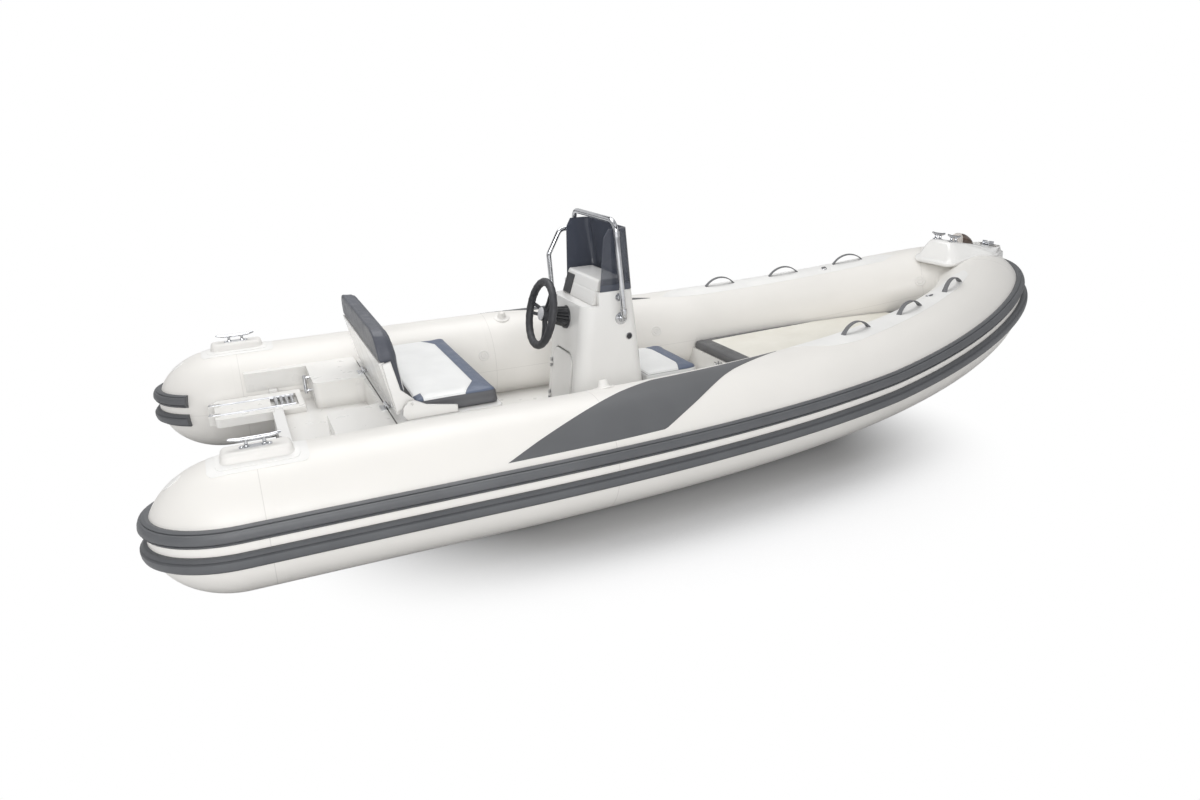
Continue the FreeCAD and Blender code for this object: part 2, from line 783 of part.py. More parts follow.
lid_x = (station("seat_rear_station"), station("seat_front_station"))
node("seat_lid", prism("XY", (
    (lid_x[0], seat_y[0]), (lid_x[1], seat_y[0]), (lid_x[1], seat_y[1]), (lid_x[0], seat_y[1])),
    lid_bottom, "lid_top", "lid_round", lid_front_corner))
cushion_x = (station("cushion_rear_station"), station("seat_front_station - cushion_overhang"))
node("seat_cushion", box(cushion_x, ("-cushion_half_width", "cushion_half_width"),
                         ("lid_top + soft_gap", "lid_top + cushion_thickness")))

# Hinges of the lid, one leaf on the deck and one on the lid, on a common pin
hinge_station = "seat_rear_station - lid_gap / 2"
hinge_x = station(hinge_station)
hinge_z = "(lid_top + hinge_barrel_radius + 1)"
third = "(lid_hinge_width / 3)"
leaf_x = station(hinge_station + " - lid_hinge_leaf")
leaf_z = ("wing_level", "wing_level + leaf_thickness")
fixed_leaves = []
moving_leaves = []
for sign in ("-", "+"):
    low = "(%slid_hinge_spread - lid_hinge_width / 2)" % sign
    far = "(%s + 2 * %s)" % (low, third)
    pieces = [cylinder("hinge_pin_radius", "lid_hinge_width", hinge_x, low, hinge_z, Vector(0, 1, 0))]
    for start in (low, far):
        pieces.append(cylinder("hinge_barrel_radius", third, hinge_x, start, hinge_z, Vector(0, 1, 0)))
        pieces.append(box((leaf_x, hinge_x), (start, "%s + %s" % (start, third)), leaf_z))
    pieces.append(box((leaf_x, station(hinge_station + " - hinge_barrel_radius - knuckle_play")),
                      (low, "%s + lid_hinge_width" % low), leaf_z))
    fixed_leaves.append(fuse(*pieces))
    knuckle_low = "(%s + %s + knuckle_play)" % (low, third)
    knuckle = cylinder("hinge_barrel_radius", "%s - 2 * knuckle_play" % third, hinge_x, knuckle_low, hinge_z,
                       Vector(0, 1, 0))
    plate = box((hinge_x, station(hinge_station + " + lid_hinge_leaf")),
                (knuckle_low, "%s - knuckle_play" % far), ("lid_top", "lid_top + leaf_thickness"))
    bore = cylinder("hinge_pin_radius + pin_clearance", "lid_hinge_width", hinge_x, low, hinge_z,
                    Vector(0, 1, 0))
    moving_leaves.append(cut(fuse(knuckle, plate), bore))
node("lid_hinges_moving", gather(*moving_leaves))

# Backrest: pad, shell, side arms and the brackets that carry their pivots
arm_in = "(cushion_half_width + side_clearance)"
arm_out = "(%s + arm_thickness)" % arm_in
bracket_in = "(%s + side_clearance)" % arm_out
bracket_out = "(%s + bracket_thickness)" % bracket_in
pivot_x = station("pivot_station")


def upper_corner(point):
    return point.z > value("back_shell_level")


back_side = prism("XZ", (
    (station("pivot_station - 113"), "back_top_level - 14"),
    (station("pivot_station - 50"), "back_top_level"),
    (station("pivot_station - 33"), "back_top_level - 105"),
    (station("pivot_station - 13"), "pivot_level + 21"),
    (station("pivot_station - 44"), "pivot_level + 21"), (station("pivot_station - 84"), "back_shell_level"),
    (station("pivot_station - 106"), "back_shell_level")), "-%s" % arm_in, arm_in)
back_front = prism("YZ", (
    ("-%s" % arm_in, "back_bottom_level - 60"), (arm_in, "back_bottom_level - 60"),
    (arm_in, "back_top_level"), ("-%s" % arm_in, "back_top_level")),
    station("pivot_station - 200"), station("pivot_station + 100"), "back_corner_radius", upper_corner)
side_notch = box((station("pivot_station - 200"), station("pivot_station + 100")),
                 (arm_in + " - 12", arm_in + " + 10"),
                 ("back_bottom_level - 60", "back_shell_level + 2"))
pad_solid = common(back_side, back_front)
node("backrest_pad", cut(pad_solid, fuse(side_notch, mirrored(side_notch))))
node("backrest_shell", prism("XZ", (
    (station("pivot_station - 108"), "back_shell_level - 1"),
    (station("pivot_station - 85"), "back_shell_level - 1"),
    (station("pivot_station - 45"), "pivot_level + 21"),
    (station("pivot_station - 45"), "back_bottom_level"),
    (station("pivot_station - 61"), "back_bottom_level")), "-%s" % arm_in, arm_in))
arm_side = prism("XZ", (
    (station("pivot_station - 96"), "back_shell_level - 5"),
    (station("pivot_station - 62"), "back_shell_level + 2"),
    (station("pivot_station - 36"), "pivot_level + 60"), (station("pivot_station + 14"), "pivot_level + 12"),
    (station("pivot_station + 14"), "pivot_level - 14"), (station("pivot_station - 20"), "pivot_level - 14"),
    (station("pivot_station - 61"), "pivot_level - 30")), arm_in, arm_out)
pivot_pin = cylinder("pivot_pin_radius", "%s - %s" % (bracket_out, arm_in), pivot_x, arm_in, "pivot_level",
                     Vector(0, 1, 0))
arm = fuse(arm_side, pivot_pin)
node("backrest_arms", gather(arm, mirrored(arm)))
bracket_plate = prism("XZ", (
    (station("pivot_station - 24"), "lid_top"), (station("pivot_station - 40"), "lid_top + 22"),
    (station("pivot_station - 36"), "lid_top + 52"), (station("pivot_station - 14"), "pivot_level + 12"),
    (station("pivot_station + 14"), "pivot_level + 12"), (station("pivot_station + 60"), "lid_top + 52"),
    (station("pivot_station + 185"), "lid_top + 30"), (station("pivot_station + 185"), "lid_top")),
    bracket_in, bracket_out)
bracket_bore = cylinder("pivot_pin_radius + pin_clearance", "40", pivot_x, arm_in, "pivot_level",
                        Vector(0, 1, 0))
bracket = cut(bracket_plate, bracket_bore)
node("backrest_brackets", gather(bracket, mirrored(bracket)))

# Console body: tapered, rounded, hollow behind its door


def rounded_plan(rear, front, half, radius, level):
    """A rounded rectangle in plan, as a wire at one level."""
    left, right = value(station(rear)), value(station(front))
    side = value(half)
    bend = value(radius)
    plate = Part.makeBox(right - left, 2 * side, 1, Vector(left, -side, level))
    corners = [edge for edge in plate.Edges if abs(edge.tangentAt(0).z) > 0.99]
    rounded = plate.makeFillet(bend, corners)
    face = [item for item in rounded.Faces if item.CenterOfMass.z < level + 0.01][0]
    return face.OuterWire


def taper(lower, upper):
    return Part.makeLoft([lower, upper], True, True)


outer = taper(
    rounded_plan("console_foot_rear", "console_foot_front", "console_half_width", "console_corner_radius",
                 value("sole_level")),
    rounded_plan("console_top_rear", "console_top_front", "console_top_half_width", "console_corner_radius",
                 value("console_top")))
inner = taper(
    rounded_plan("console_foot_rear + console_wall", "console_foot_front - console_wall",
                 "console_half_width - console_wall", "console_corner_radius - console_wall",
                 value("sole_level") - 1),
    rounded_plan("console_top_rear + console_wall", "console_top_front - console_wall",
                 "console_top_half_width - console_wall", "console_corner_radius - console_wall",
                 value("ledge_level - console_wall")))
console_solid = feature(outer)
ledge_room = box((station("console_foot_rear - 50"), station("ledge_front_station")),
                 ("-console_half_width - 50", "console_half_width + 50"),
                 ("ledge_level", "console_top + 50"))
lean = math.degrees(math.atan2(value("console_top_rear - console_foot_rear"),
                               value("console_top - sole_level")))


def leaning(item, forward, low):
    """Lay a piece modelled upright against the leaning rear face."""
    item.Placement = FreeCAD.Placement(
        Vector(value(station("console_foot_rear")) + forward, 0, value("sole_level") + low),
        FreeCAD.Rotation(Vector(0, 1, 0), lean))
    return item


def door_outline(gap):
    wide = "(door_half_width + %s)" % gap
    return (("-" + wide, "door_bottom - sole_level - %s" % gap),
            (wide, "door_bottom - sole_level - %s" % gap),
            (wide, "door_top - sole_level + %s" % gap), ("-" + wide, "door_top - sole_level + %s" % gap))


def door_top_corner(point):
    return point.z > value("(door_top - sole_level) / 2")


door_hole = leaning(prism("YZ", door_outline("door_gap"), "-20", "console_wall + 30",
                          "door_corner_radius + door_gap", door_top_corner), 0, 0)
door_plate = leaning(prism("YZ", door_outline("0"), "-door_thickness / 2", "door_thickness / 2",
                           "door_corner_radius", door_top_corner), 0, 0)


def knuckles(length, radius, off_fixed, off_moving, leaf):
    """Fixed and moving halves of a barrel hinge about Y; its leaves reach along X at set heights."""
    pin_radius = value("small_pin_radius")
    third = length / 3
    pin = Part.makeCylinder(pin_radius, length, Vector(0, -length / 2, 0), Vector(0, 1, 0))
    bore = Part.makeCylinder(pin_radius + value("pin_clearance"), length, Vector(0, -length / 2, 0),
                             Vector(0, 1, 0))
    fixed = [pin]
    for start in (-length / 2, length / 2 - third):
        fixed.append(Part.makeCylinder(radius, third, Vector(0, start, 0), Vector(0, 1, 0)))
        fixed.append(Part.makeBox(radius, third, off_fixed + 0.01, Vector(-radius, start, -off_fixed)))
        fixed.append(Part.makeBox(leaf, third, 3, Vector(-leaf, start, -off_fixed)))
    moving = [Part.makeCylinder(radius, third - 1, Vector(0, 0.5 - third / 2, 0), Vector(0, 1, 0)),
              Part.makeBox(radius, third - 1, off_moving + 0.01, Vector(0, 0.5 - third / 2, -off_moving)),
              Part.makeBox(leaf, third - 1, 2, Vector(0, 0.5 - third / 2, -off_moving))]
    return fixed[0].fuse(fixed[1:]).removeSplitter(), moving[0].fuse(moving[1:]).cut(bore).removeSplitter()


def place_hinge(halves, origin, along, across):
    """Set both halves of a hinge at a point: local Y along the pin, local X towards the moving leaf."""
    upright = across.cross(along)
    for half in halves:
        half.Placement = FreeCAD.Placement(origin, FreeCAD.Rotation(across, along, upright, "ZXY"))
    return halves


lean_angle = math.radians(lean)
face_up = Vector(math.sin(lean_angle), 0, math.cos(lean_angle))
face_out = Vector(-math.cos(lean_angle), 0, math.sin(lean_angle))
barrel_radius = value("door_barrel_radius")
door_half_thick = value("door_thickness") / 2
door_pin_off = door_half_thick + barrel_radius + 1
fixed_hinges = []
moving_hinges = []
for share in (0.2, 0.72):
    level = value("door_bottom") + share * value("door_top - door_bottom") - value("sole_level")
    base = Vector(value(station("console_foot_rear")), 0, value("sole_level")) + face_up * level
    origin = base + face_out * door_pin_off + Vector(0, value("door_half_width + door_gap / 2"), 0)
    halves = knuckles(value("small_hinge_length"), barrel_radius, door_pin_off, barrel_radius + 1,
                      value("small_hinge_leaf"))
    fixed_half, moving_half = place_hinge(halves, origin, face_up, Vector(0, -1, 0))
    fixed_hinges.append(fixed_half)
    moving_hinges.append(moving_half)
console_shell = cut(cut(console_solid, feature(inner)), ledge_room)
door_hinges = cut(feature(Part.Compound(fixed_hinges)), console_solid)
node("console_body", cut(console_shell, door_hole))
node("console_door", fuse(door_plate, feature(moving_hinges[0]), feature(moving_hinges[1])))

binnacle_outline = (
    (station("binnacle_rear_foot"), "ledge_level"), (station("ledge_front_station"), "ledge_level"),
    (station("ledge_front_station"), "console_top"), (station("binnacle_front"), "console_top"),
    (station("binnacle_front"), "binnacle_top"), (station("binnacle_rear_top"), "binnacle_top"))


def binnacle_top_edge(point):
    return point.z > value("binnacle_top - 1")


node("binnacle", prism("XZ", binnacle_outline, "-binnacle_half_width", "binnacle_half_width",
                       "binnacle_round",
                       binnacle_top_edge))

binnacle_lean = math.degrees(math.atan2(
    value("binnacle_rear_top - binnacle_rear_foot"), value("binnacle_top - ledge_level")))
panel_plate = prism("YZ", (
    ("switch_panel_inboard", "6"), ("switch_panel_outboard", "6"),
    ("switch_panel_outboard", "binnacle_top - ledge_level - binnacle_round"),
    ("switch_panel_inboard", "binnacle_top - ledge_level - binnacle_round")),
    "-switch_panel_thickness", "0")
panel_plate.Placement = FreeCAD.Placement(
    Vector(value(station("binnacle_rear_foot")), 0, value("ledge_level")),
    FreeCAD.Rotation(Vector(0, 1, 0), binnacle_lean))
node("switch_panel", panel_plate)

# Windscreen: one bent sheet round the binnacle, open aft
screen_reach = 200
screen_outer = taper(
    rounded_plan("screen_aft_foot - %d" % screen_reach, "screen_front_foot", "screen_half_width",
                 "screen_corner_radius", value("console_top")),
    rounded_plan("screen_aft_top - %d" % screen_reach, "screen_front_top", "screen_top_half_width",
                 "screen_corner_radius", value("screen_top")))
screen_inner = taper(
    rounded_plan("screen_aft_foot - %d" % (2 * screen_reach), "screen_front_foot - screen_thickness",
                 "screen_half_width - screen_thickness", "screen_corner_radius - screen_thickness",
                 value("console_top")),
    rounded_plan("screen_aft_top - %d" % (2 * screen_reach), "screen_front_top - screen_thickness",
                 "screen_top_half_width - screen_thickness", "screen_corner_radius - screen_thickness",
                 value("screen_top")))
screen_opening = prism("XZ", (
    (station("screen_aft_foot - %d" % (2 * screen_reach)), "console_top - 10"),
    (station("screen_aft_foot"), "console_top - 10"),
    (station("screen_aft_top"), "screen_top - screen_top_slope"),
    (station("screen_aft_top + 30"), "screen_top + 10"),
    (station("screen_aft_foot - %d" % (2 * screen_reach)), "screen_top + 10")), "-2 * screen_half_width",
    "2 * screen_half_width")
node("windscreen", cut(cut(feature(screen_outer), feature(screen_inner)), screen_opening))


def bent_tube(points, radius, bend):
    """A round tube along straight runs joined by arcs."""
    edges = []
    start = points[0]
    for index in range(1, len(points) - 1):
        before, corner, after = points[index - 1], points[index], points[index + 1]
        first = (before - corner).normalize()
        second = (after - corner).normalize()
        angle = first.getAngle(second)
        reach = bend / math.tan(angle / 2)
        enter = corner + first * reach
        leave = corner + second * reach
        bisector = (first + second).normalize()
        centre = corner + bisector * (bend / math.sin(angle / 2))
        middle = centre - bisector * bend
        edges.append(Part.makeLine(start, enter))
        edges.append(Part.Arc(enter, middle, leave).toShape())
        start = leave
    edges.append(Part.makeLine(start, points[-1]))
    path = Part.Wire(edges)
    direction = (points[1] - points[0]).normalize()
    circle = Part.Wire(Part.makeCircle(radius, points[0], direction))
    return path.makePipeShell([circle], True, False)


rail_y = value("rail_half_width")
rail_bend = value("rail_bend_radius")
rail_radius = value("rail_radius")
foot_level = value("rail_foot_level")
hoop_foot_x = value(station("rail_foot_station"))
hoop_top_x = value(station("rail_top_station"))
branch_foot_x = value(station("branch_foot_station"))
hoop = bent_tube([
    Vector(hoop_foot_x, -rail_y, foot_level), Vector(hoop_top_x, -rail_y, value("rail_top")),
    Vector(hoop_top_x, rail_y, value("rail_top")), Vector(hoop_foot_x, rail_y, foot_level)], rail_radius,
    rail_bend)
branch_share = value("(branch_level - rail_foot_level) / (rail_top - rail_foot_level)")
branch_root_x = hoop_foot_x + (hoop_top_x - hoop_foot_x) * branch_share
branch = bent_tube([
    Vector(branch_root_x, rail_y, value("branch_level")),
    Vector(value(station("branch_aft_station")), rail_y, value("branch_level - rail_radius")),
    Vector(value(station("branch_elbow_station")), rail_y, value("branch_elbow_level")),
    Vector(branch_foot_x, rail_y, foot_level)], rail_radius - 0.5, rail_bend / 2)
side_share = value("(rail_foot_level - sole_level) / (console_top - sole_level)")
wall_y = value("console_half_width") - value("console_half_width - console_top_half_width") * side_share
rail_feet = []
for foot_x, side in ((hoop_foot_x, -1), (hoop_foot_x, 1), (branch_foot_x, 1)):
    start = Vector(foot_x, side * wall_y, foot_level)
    rail_feet.append(Part.makeCylinder(rail_radius, rail_y - wall_y + rail_radius * 0.4, start,
                                       Vector(0, side, 0)))
    rail_feet.append(Part.makeCylinder(value("rail_flange_radius"), 5, start, Vector(0, side, 0)))
rail_shape = hoop.fuse([branch] + rail_feet).removeSplitter()
node("console_rail", cut(feature(rail_shape), console_solid))

# Helm: a ribbed hub on the leaning face and a three-spoke wheel on its axis
tilt = math.radians(value("wheel_tilt"))
wheel_axis = Vector(-math.cos(tilt), 0, math.sin(tilt))
wheel_centre = Vector(value(station("wheel_station")), 0, value("wheel_level"))


def on_wheel_axis(distance):
    return wheel_centre - wheel_axis * distance


boss_length = value("wheel_boss_length")
hub_far = boss_length + value("helm_hub_gap") + value("helm_hub_length")
hub = Part.makeCone(value("helm_hub_radius"), value("helm_hub_radius") * 0.72, value("helm_hub_length"),
                    on_wheel_axis(hub_far), wheel_axis)
hub_foot = Part.makeCylinder(value("helm_hub_radius"), 60, on_wheel_axis(hub_far), wheel_axis * -1)
rim = Part.makeTorus(value("wheel_radius"), value("wheel_grip_radius"), wheel_centre, wheel_axis)
boss = Part.makeCylinder(value("wheel_boss_radius"), boss_length, on_wheel_axis(boss_length), wheel_axis)
shaft_radius = value("helm_shaft_radius")
shaft_length = value("helm_shaft_length")
shaft_root = boss_length + value("helm_hub_gap") + 5
shaft = Part.makeCylinder(shaft_radius, shaft_length, on_wheel_axis(shaft_root), wheel_axis)
shaft_bore = Part.makeCylinder(shaft_radius + value("pin_clearance"), boss_length - 7,
                               on_wheel_axis(boss_length + 1), wheel_axis)
spoke_shapes = []
up_wheel = Vector(math.sin(tilt), 0, math.cos(tilt))
spoke_start = value("wheel_boss_radius") * 0.6
for turn in (90, 210, 330):
    for side in (-1, 1):
        spoke = Part.makeCylinder(value("spoke_radius"), value("wheel_radius") - spoke_start,
                                  Vector(spoke_start, side * value("spoke_offset"), 0),
                                  Vector(1, side * 0.12, 0))
        spoke.Placement = FreeCAD.Placement(
            on_wheel_axis(value("wheel_dish")), FreeCAD.Rotation(wheel_axis, turn).multiply(
                FreeCAD.Rotation(up_wheel, wheel_axis.cross(up_wheel), wheel_axis, "ZXY")))
        spoke_shapes.append(spoke)
node("helm_hub", cut(feature(hub.fuse([hub_foot, shaft]).removeSplitter()), console_solid))
wheel = rim.fuse([boss] + spoke_shapes).cut(shaft_bore).removeSplitter()
node("steering_wheel", feature(wheel))
node("wheel_cap", feature(Part.makeCone(value("wheel_cap_radius"), value("wheel_cap_radius") * 0.8,
                                        value("wheel_cap_height"), wheel_centre, wheel_axis)))

# Seat in front of the console


def front_seat_block(front, half, low, high):
    """A block from inside the console's front forward, its front corners rounded."""
    rear = station("console_top_front")
    outline = ((rear, "-(%s)" % half), (station(front), "-(%s)" % half), (station(front), half),
               (rear, half))
    return prism("XY", outline, low, high, "front_seat_round",
                 lambda point: point.x > value(station("console_foot_front")))


front_base = front_seat_block("front_seat_station - front_seat_recess",
                              "front_seat_half_width - front_seat_recess",
                              "sole_level", "front_seat_top - front_seat_cushion - soft_gap")
front_pad = front_seat_block("front_seat_station", "front_seat_half_width",
                             "front_seat_top - front_seat_cushion", "front_seat_top")
node("console_seat_base", cut(front_base, console_solid))
node("console_seat_cushion", cut(front_pad, console_solid))

# Bow locker under a sloping deck, with a door in its riser
deck_slope = (station("locker_station"), station("locker_front_station"))
locker_block = prism("XZ", (
    (deck_slope[0], "sole_level"), (deck_slope[1], "sole_level"),
    (deck_slope[1], "locker_front_level"), (deck_slope[0], "locker_aft_level")), "-tube_spread",
    "tube_spread")
locker_room = box((station("locker_station - 10"), station("locker_station + locker_depth")),
                  ("-locker_door_half_width - door_gap", "locker_door_half_width + door_gap"),
                  ("locker_door_bottom - door_gap", "locker_door_top + door_gap"))
node("bow_locker", cut(cut(cut(common(locker_block, interior), under_deck), tubes), locker_room))
locker_door_plate = box((station("locker_station - locker_door_proud"), station("locker_station + 10")),
                        ("-locker_door_half_width", "locker_door_half_width"),
                        ("locker_door_bottom", "locker_door_top"))
locker_fixed = []
locker_moving = []
for side in (-1, 1):
    origin = Vector(value(station("locker_station - locker_door_proud")) - barrel_radius - 1,
                    side * value("locker_hinge_spread"), value("locker_door_top + door_gap / 2"))
    halves = knuckles(value("small_hinge_length"), barrel_radius,
                      barrel_radius + 1 + value("locker_door_proud"),
                      barrel_radius + 1, value("small_hinge_leaf"))
    fixed_half, moving_half = place_hinge(halves, origin, Vector(0, -1, 0), Vector(0, 0, -1))
    locker_fixed.append(fixed_half)
    locker_moving.append(moving_half)
node("fixed_hinges", gather(*fixed_leaves, door_hinges, feature(Part.Compound(locker_fixed))))
node("bow_locker_door", fuse(locker_door_plate, feature(locker_moving[0]), feature(locker_moving[1])))
cushion_block = prism("XZ", (
    (deck_slope[0], "locker_aft_level + soft_gap"), (station("bow_cushion_front"), "locker_front_level - 7"),
    (station("bow_cushion_front"), "locker_front_level - 7 + bow_cushion_thickness"),
    (deck_slope[0], "locker_aft_level + bow_cushion_thickness")), "-tube_spread", "tube_spread")
node("bow_cushion", cut(common(cushion_block, interior), tubes))

# Bow nose saddled over the bow tube: a skirt in plan drawn in to a sloping deck


def nose_half_plan(aft, shoulder, front, aft_half, half, tip_half):
    """Corners in plan, port side from aft forward and starboard side back."""
    port = [(value(station(aft)), value(aft_half)), (value(station(shoulder)), value(half)),
            (value(station(front)), value(tip_half))]
    return port + [(x, -y) for x, y in reversed(port)]


def nose_level(x):
    """Height of the nose's deck, falling forward."""
    aft = value(station("nose_deck_station"))
    share = (x - aft) / (value(station("nose_deck_front")) - aft)
    return value("nose_deck_level") + value("nose_deck_tip_level - nose_deck_level") * share


skirt_plan = nose_half_plan("nose_aft_station", "nose_shoulder_station", "nose_front_station",
                            "nose_aft_half_width", "nose_half_width", "nose_tip_half_width")
deck_plan = nose_half_plan("nose_deck_station", "nose_shoulder_station + 60", "nose_deck_front",
                           "nose_deck_half_width * 0.8", "nose_deck_half_width", "nose_deck_tip_half")
skirt_wire = Part.makePolygon([Vector(x, y, value("nose_skirt")) for x, y in skirt_plan + skirt_plan[:1]])
deck_wire = Part.makePolygon([Vector(x, y, nose_level(x)) for x, y in deck_plan + deck_plan[:1]])
nose_solid = Part.makeLoft([skirt_wire, deck_wire], True, True)
rising_edges = [edge for edge in nose_solid.Edges if abs(edge.tangentAt(edge.FirstParameter).z) > 0.3]
nose_shape = feature(nose_solid.makeFillet(value("nose_round"), rising_edges))
bow_middle, bow_direction, bow_outboard, bow_upward, bow_radius = tube_frame(1)
strake_lean = strake_middle(value("strake_top_angle"), 1)
strake_top = (bow_middle.z + (bow_radius + value("strake_depth")) * math.sin(strake_lean)
              + value("strake_height") / 2 * math.cos(strake_lean))
strake_room = Part.makeBox(value("2 * bow_tube_radius"), value("4 * nose_half_width"),
                           strake_top + value("nose_strake_gap - tube_level"),
                           Vector(bow_middle.x, -value("2 * nose_half_width"), value("tube_level")))
node("bow_nose", cut(cut(nose_shape, bond_tubes), feature(strake_room)))


def horn_cleat(length):
    """A two-legged horn cleat lying fore and aft, standing on its own origin."""
    rise = value("cleat_rise")
    bar = Part.makeCylinder(value("cleat_bar_radius"), length, Vector(-length / 2, 0, rise), Vector(1, 0, 0))
    legs = []
    for side in (-1, 1):
        place = Vector(side * length * 0.17, 0, 0)
        legs.append(Part.makeCylinder(value("cleat_bar_radius") - 1, rise, place, Vector(0, 0, 1)))
        legs.append(Part.makeCylinder(value("cleat_foot_radius"), 4, place, Vector(0, 0, 1)))
    return bar.fuse(legs).removeSplitter()


def on_nose(shape, x, y):
    """Stand a piece on the sloping nose deck."""
    step = 10
    slope = Vector(step, 0, nose_level(x + step) - nose_level(x)).normalize()
    upright = slope.cross(Vector(0, 1, 0))
    shape.Placement = FreeCAD.Placement(Vector(x, y, nose_level(x)),
                                        FreeCAD.Rotation(slope, Vector(0, 1, 0), upright, "ZXY"))
    return shape


bow_cleat = feature(on_nose(horn_cleat(value("bow_cleat_length")), value(station("bow_cleat_station")),
                            -value("bow_cleat_half")))
node("bow_cleats", gather(bow_cleat, mirrored(bow_cleat)))

# Navigation light: a drop-shaped housing lying along the deck
light_rings = []
for share, width in ((-0.5, 0.62), (-0.25, 0.95), (0, 1), (0.3, 0.7), (0.5, 0.25)):
    light_rings.append(Part.Wire(Part.makeCircle(
        value("light_radius") * width,
        Vector(share * value("light_length"), 0, value("light_radius") * 0.35),
        Vector(1, 0, 0))))
light_body = Part.makeLoft(light_rings, True, False)
light_foot = Part.makeBox(value("light_length") + 20, 4 * value("light_radius"), 2 * value("light_radius"),
                          Vector(-value("light_length") / 2 - 10, -2 * value("light_radius"),
                                 -2 * value("light_radius")))
node("navigation_light", feature(on_nose(light_body.cut(light_foot), value(station("light_station")), 0)))

roller_half = value("roller_half_width")
roller_radius = value("roller_radius")
cheek = value("cheek_thickness")
roller_parts = [Part.makeBox(2.6 * roller_radius, cheek, 2.2 * roller_radius,
                             Vector(-1.3 * roller_radius, start, 0))
                for start in (-roller_half - cheek, roller_half)]
roller_parts.append(Part.makeBox(2.6 * roller_radius, 2 * (roller_half + cheek), 3,
                                 Vector(-1.3 * roller_radius, -roller_half - cheek, 0)))
roller_barrel = Part.makeCylinder(roller_radius * 0.8, 2 * roller_half,
                                  Vector(0, -roller_half, roller_radius * 1.1), Vector(0, 1, 0))
node("bow_roller", feature(on_nose(roller_barrel.fuse(roller_parts).removeSplitter(),
                                   value(station("roller_station")), 0)))

# Stern cleats on moulded pads
pad_y = "(tube_spread + stern_cleat_offset)"
pad_low = station("stern_cleat_station - pad_length / 2")
pad_high = station("stern_cleat_station + pad_length / 2")
pad_top = "tube_level + tube_radius + pad_rise"
pad_side = prism("XZ", (
    (pad_low, "tube_level + tube_radius / 2"), (pad_high, "tube_level + tube_radius / 2"),
    (pad_high, "tube_level + tube_radius"), (pad_high + " - pad_slope", pad_top),
    (pad_low + " + pad_slope", pad_top), (pad_low, "tube_level + tube_radius")),
    "-%s - pad_width" % pad_y, "-%s + pad_width" % pad_y)
pad_plan = prism("XY", (
    (pad_low, "-%s - pad_width / 2" % pad_y), (pad_high, "-%s - pad_width / 2" % pad_y),
    (pad_high, "-%s + pad_width / 2" % pad_y), (pad_low, "-%s + pad_width / 2" % pad_y)),
    "tube_level", pad_top + " + 10", "pad_round")
pad = cut(common(pad_side, pad_plan), bond_starboard)
node("stern_cleat_pads", gather(pad, mirrored(pad)))
stern_cleat_shape = horn_cleat(value("stern_cleat_length"))
stern_cleat_shape.Placement = FreeCAD.Placement(
    Vector(value(station("stern_cleat_station")), -value(pad_y), value(pad_top)), FreeCAD.Rotation())
stern_cleat = feature(stern_cleat_shape)
node("stern_cleats", gather(stern_cleat, mirrored(stern_cleat)))


def nearest_turn(x):
    """The turn at which the tube's centre lies at one X."""
    low, high = 0.0, 1.0
    for _ in range(40):
        middle = (low + high) / 2
        if tube_frame(middle)[0].x < x:
            low = middle
        else:
            high = middle
    return (low + high) / 2


def on_tube(x, angle):
    """Point, along, outward vectors on the starboard tube; the angle is up from outboard."""
    middle, direction, outboard, upward, radius = tube_frame(nearest_turn(x))
    outward = outboard * math.cos(angle) + upward * math.sin(angle)
    return middle + outward * radius, direction, outward


def stand(shape, point, along, outward):
    shape.Placement = FreeCAD.Placement(point, FreeCAD.Rotation(along, outward.cross(along), outward, "ZXY"))
    return shape


def strap_handle():
    """A flat strap arched over a gap, with its ends laid on the tube."""
    half = value("strap_length") / 2
    rise = value("strap_rise")
    thick = value("strap_thickness")
    wide = value("strap_width")
    sunk = -4
    inner = half - thick * 1.6
    over = Part.Arc(Vector(-half, 0, sunk), Vector(0, 0, rise), Vector(half, 0, sunk)).toShape()
    under = Part.Arc(Vector(inner, 0, sunk), Vector(0, 0, rise - thick), Vector(-inner, 0, sunk)).toShape()
    ends = [Part.makeLine(Vector(half, 0, sunk), Vector(inner, 0, sunk)),
            Part.makeLine(Vector(-inner, 0, sunk), Vector(-half, 0, sunk))]
    face = Part.Face(Part.Wire([over, ends[0], under, ends[1]]))
    return face.extrude(Vector(0, wide, 0)).translated(Vector(0, -wide / 2, 0))


def set_on_tubes(label, shapes):
    """Trim pieces to the tube's skin and repeat them on the other side."""
    trimmed = cut(feature(Part.Compound(shapes)), bond_tubes)
    node(label, gather(trimmed, mirrored(trimmed)))


straps = []
for name in ("strap_aft_station", "strap_middle_station", "strap_front_station"):
    point, along, outward = on_tube(value(station(name)), math.radians(value("strap_angle")))
    straps.append(stand(strap_handle(), point, along, outward))
set_on_tubes("strap_handles", straps)

rowlock_flange = Part.makeCylinder(value("rowlock_flange_radius"), 6, Vector(0, 0, -3))
rowlock_cone = Part.makeCone(value("rowlock_radius"), value("rowlock_radius") * 0.6,
                             value("rowlock_height") - 3,
                             Vector(0, 0, 3))
point, along, outward = on_tube(value(station("rowlock_station")), math.radians(value("rowlock_angle")))
set_on_tubes("rowlocks", [stand(rowlock_flange.fuse(rowlock_cone).removeSplitter(), point, along, outward)])

valves = []
for name in ("valve_aft_station", "valve_middle_station", "valve_bow_station"):
    point, along, outward = on_tube(value(station(name)), math.radians(value("valve_angle")))
    valve = Part.makeCylinder(value("valve_radius"), value("valve_rise") + 8, Vector(0, 0, -8))
    valves.append(stand(valve, point, along, outward))
set_on_tubes("tube_valves", valves)

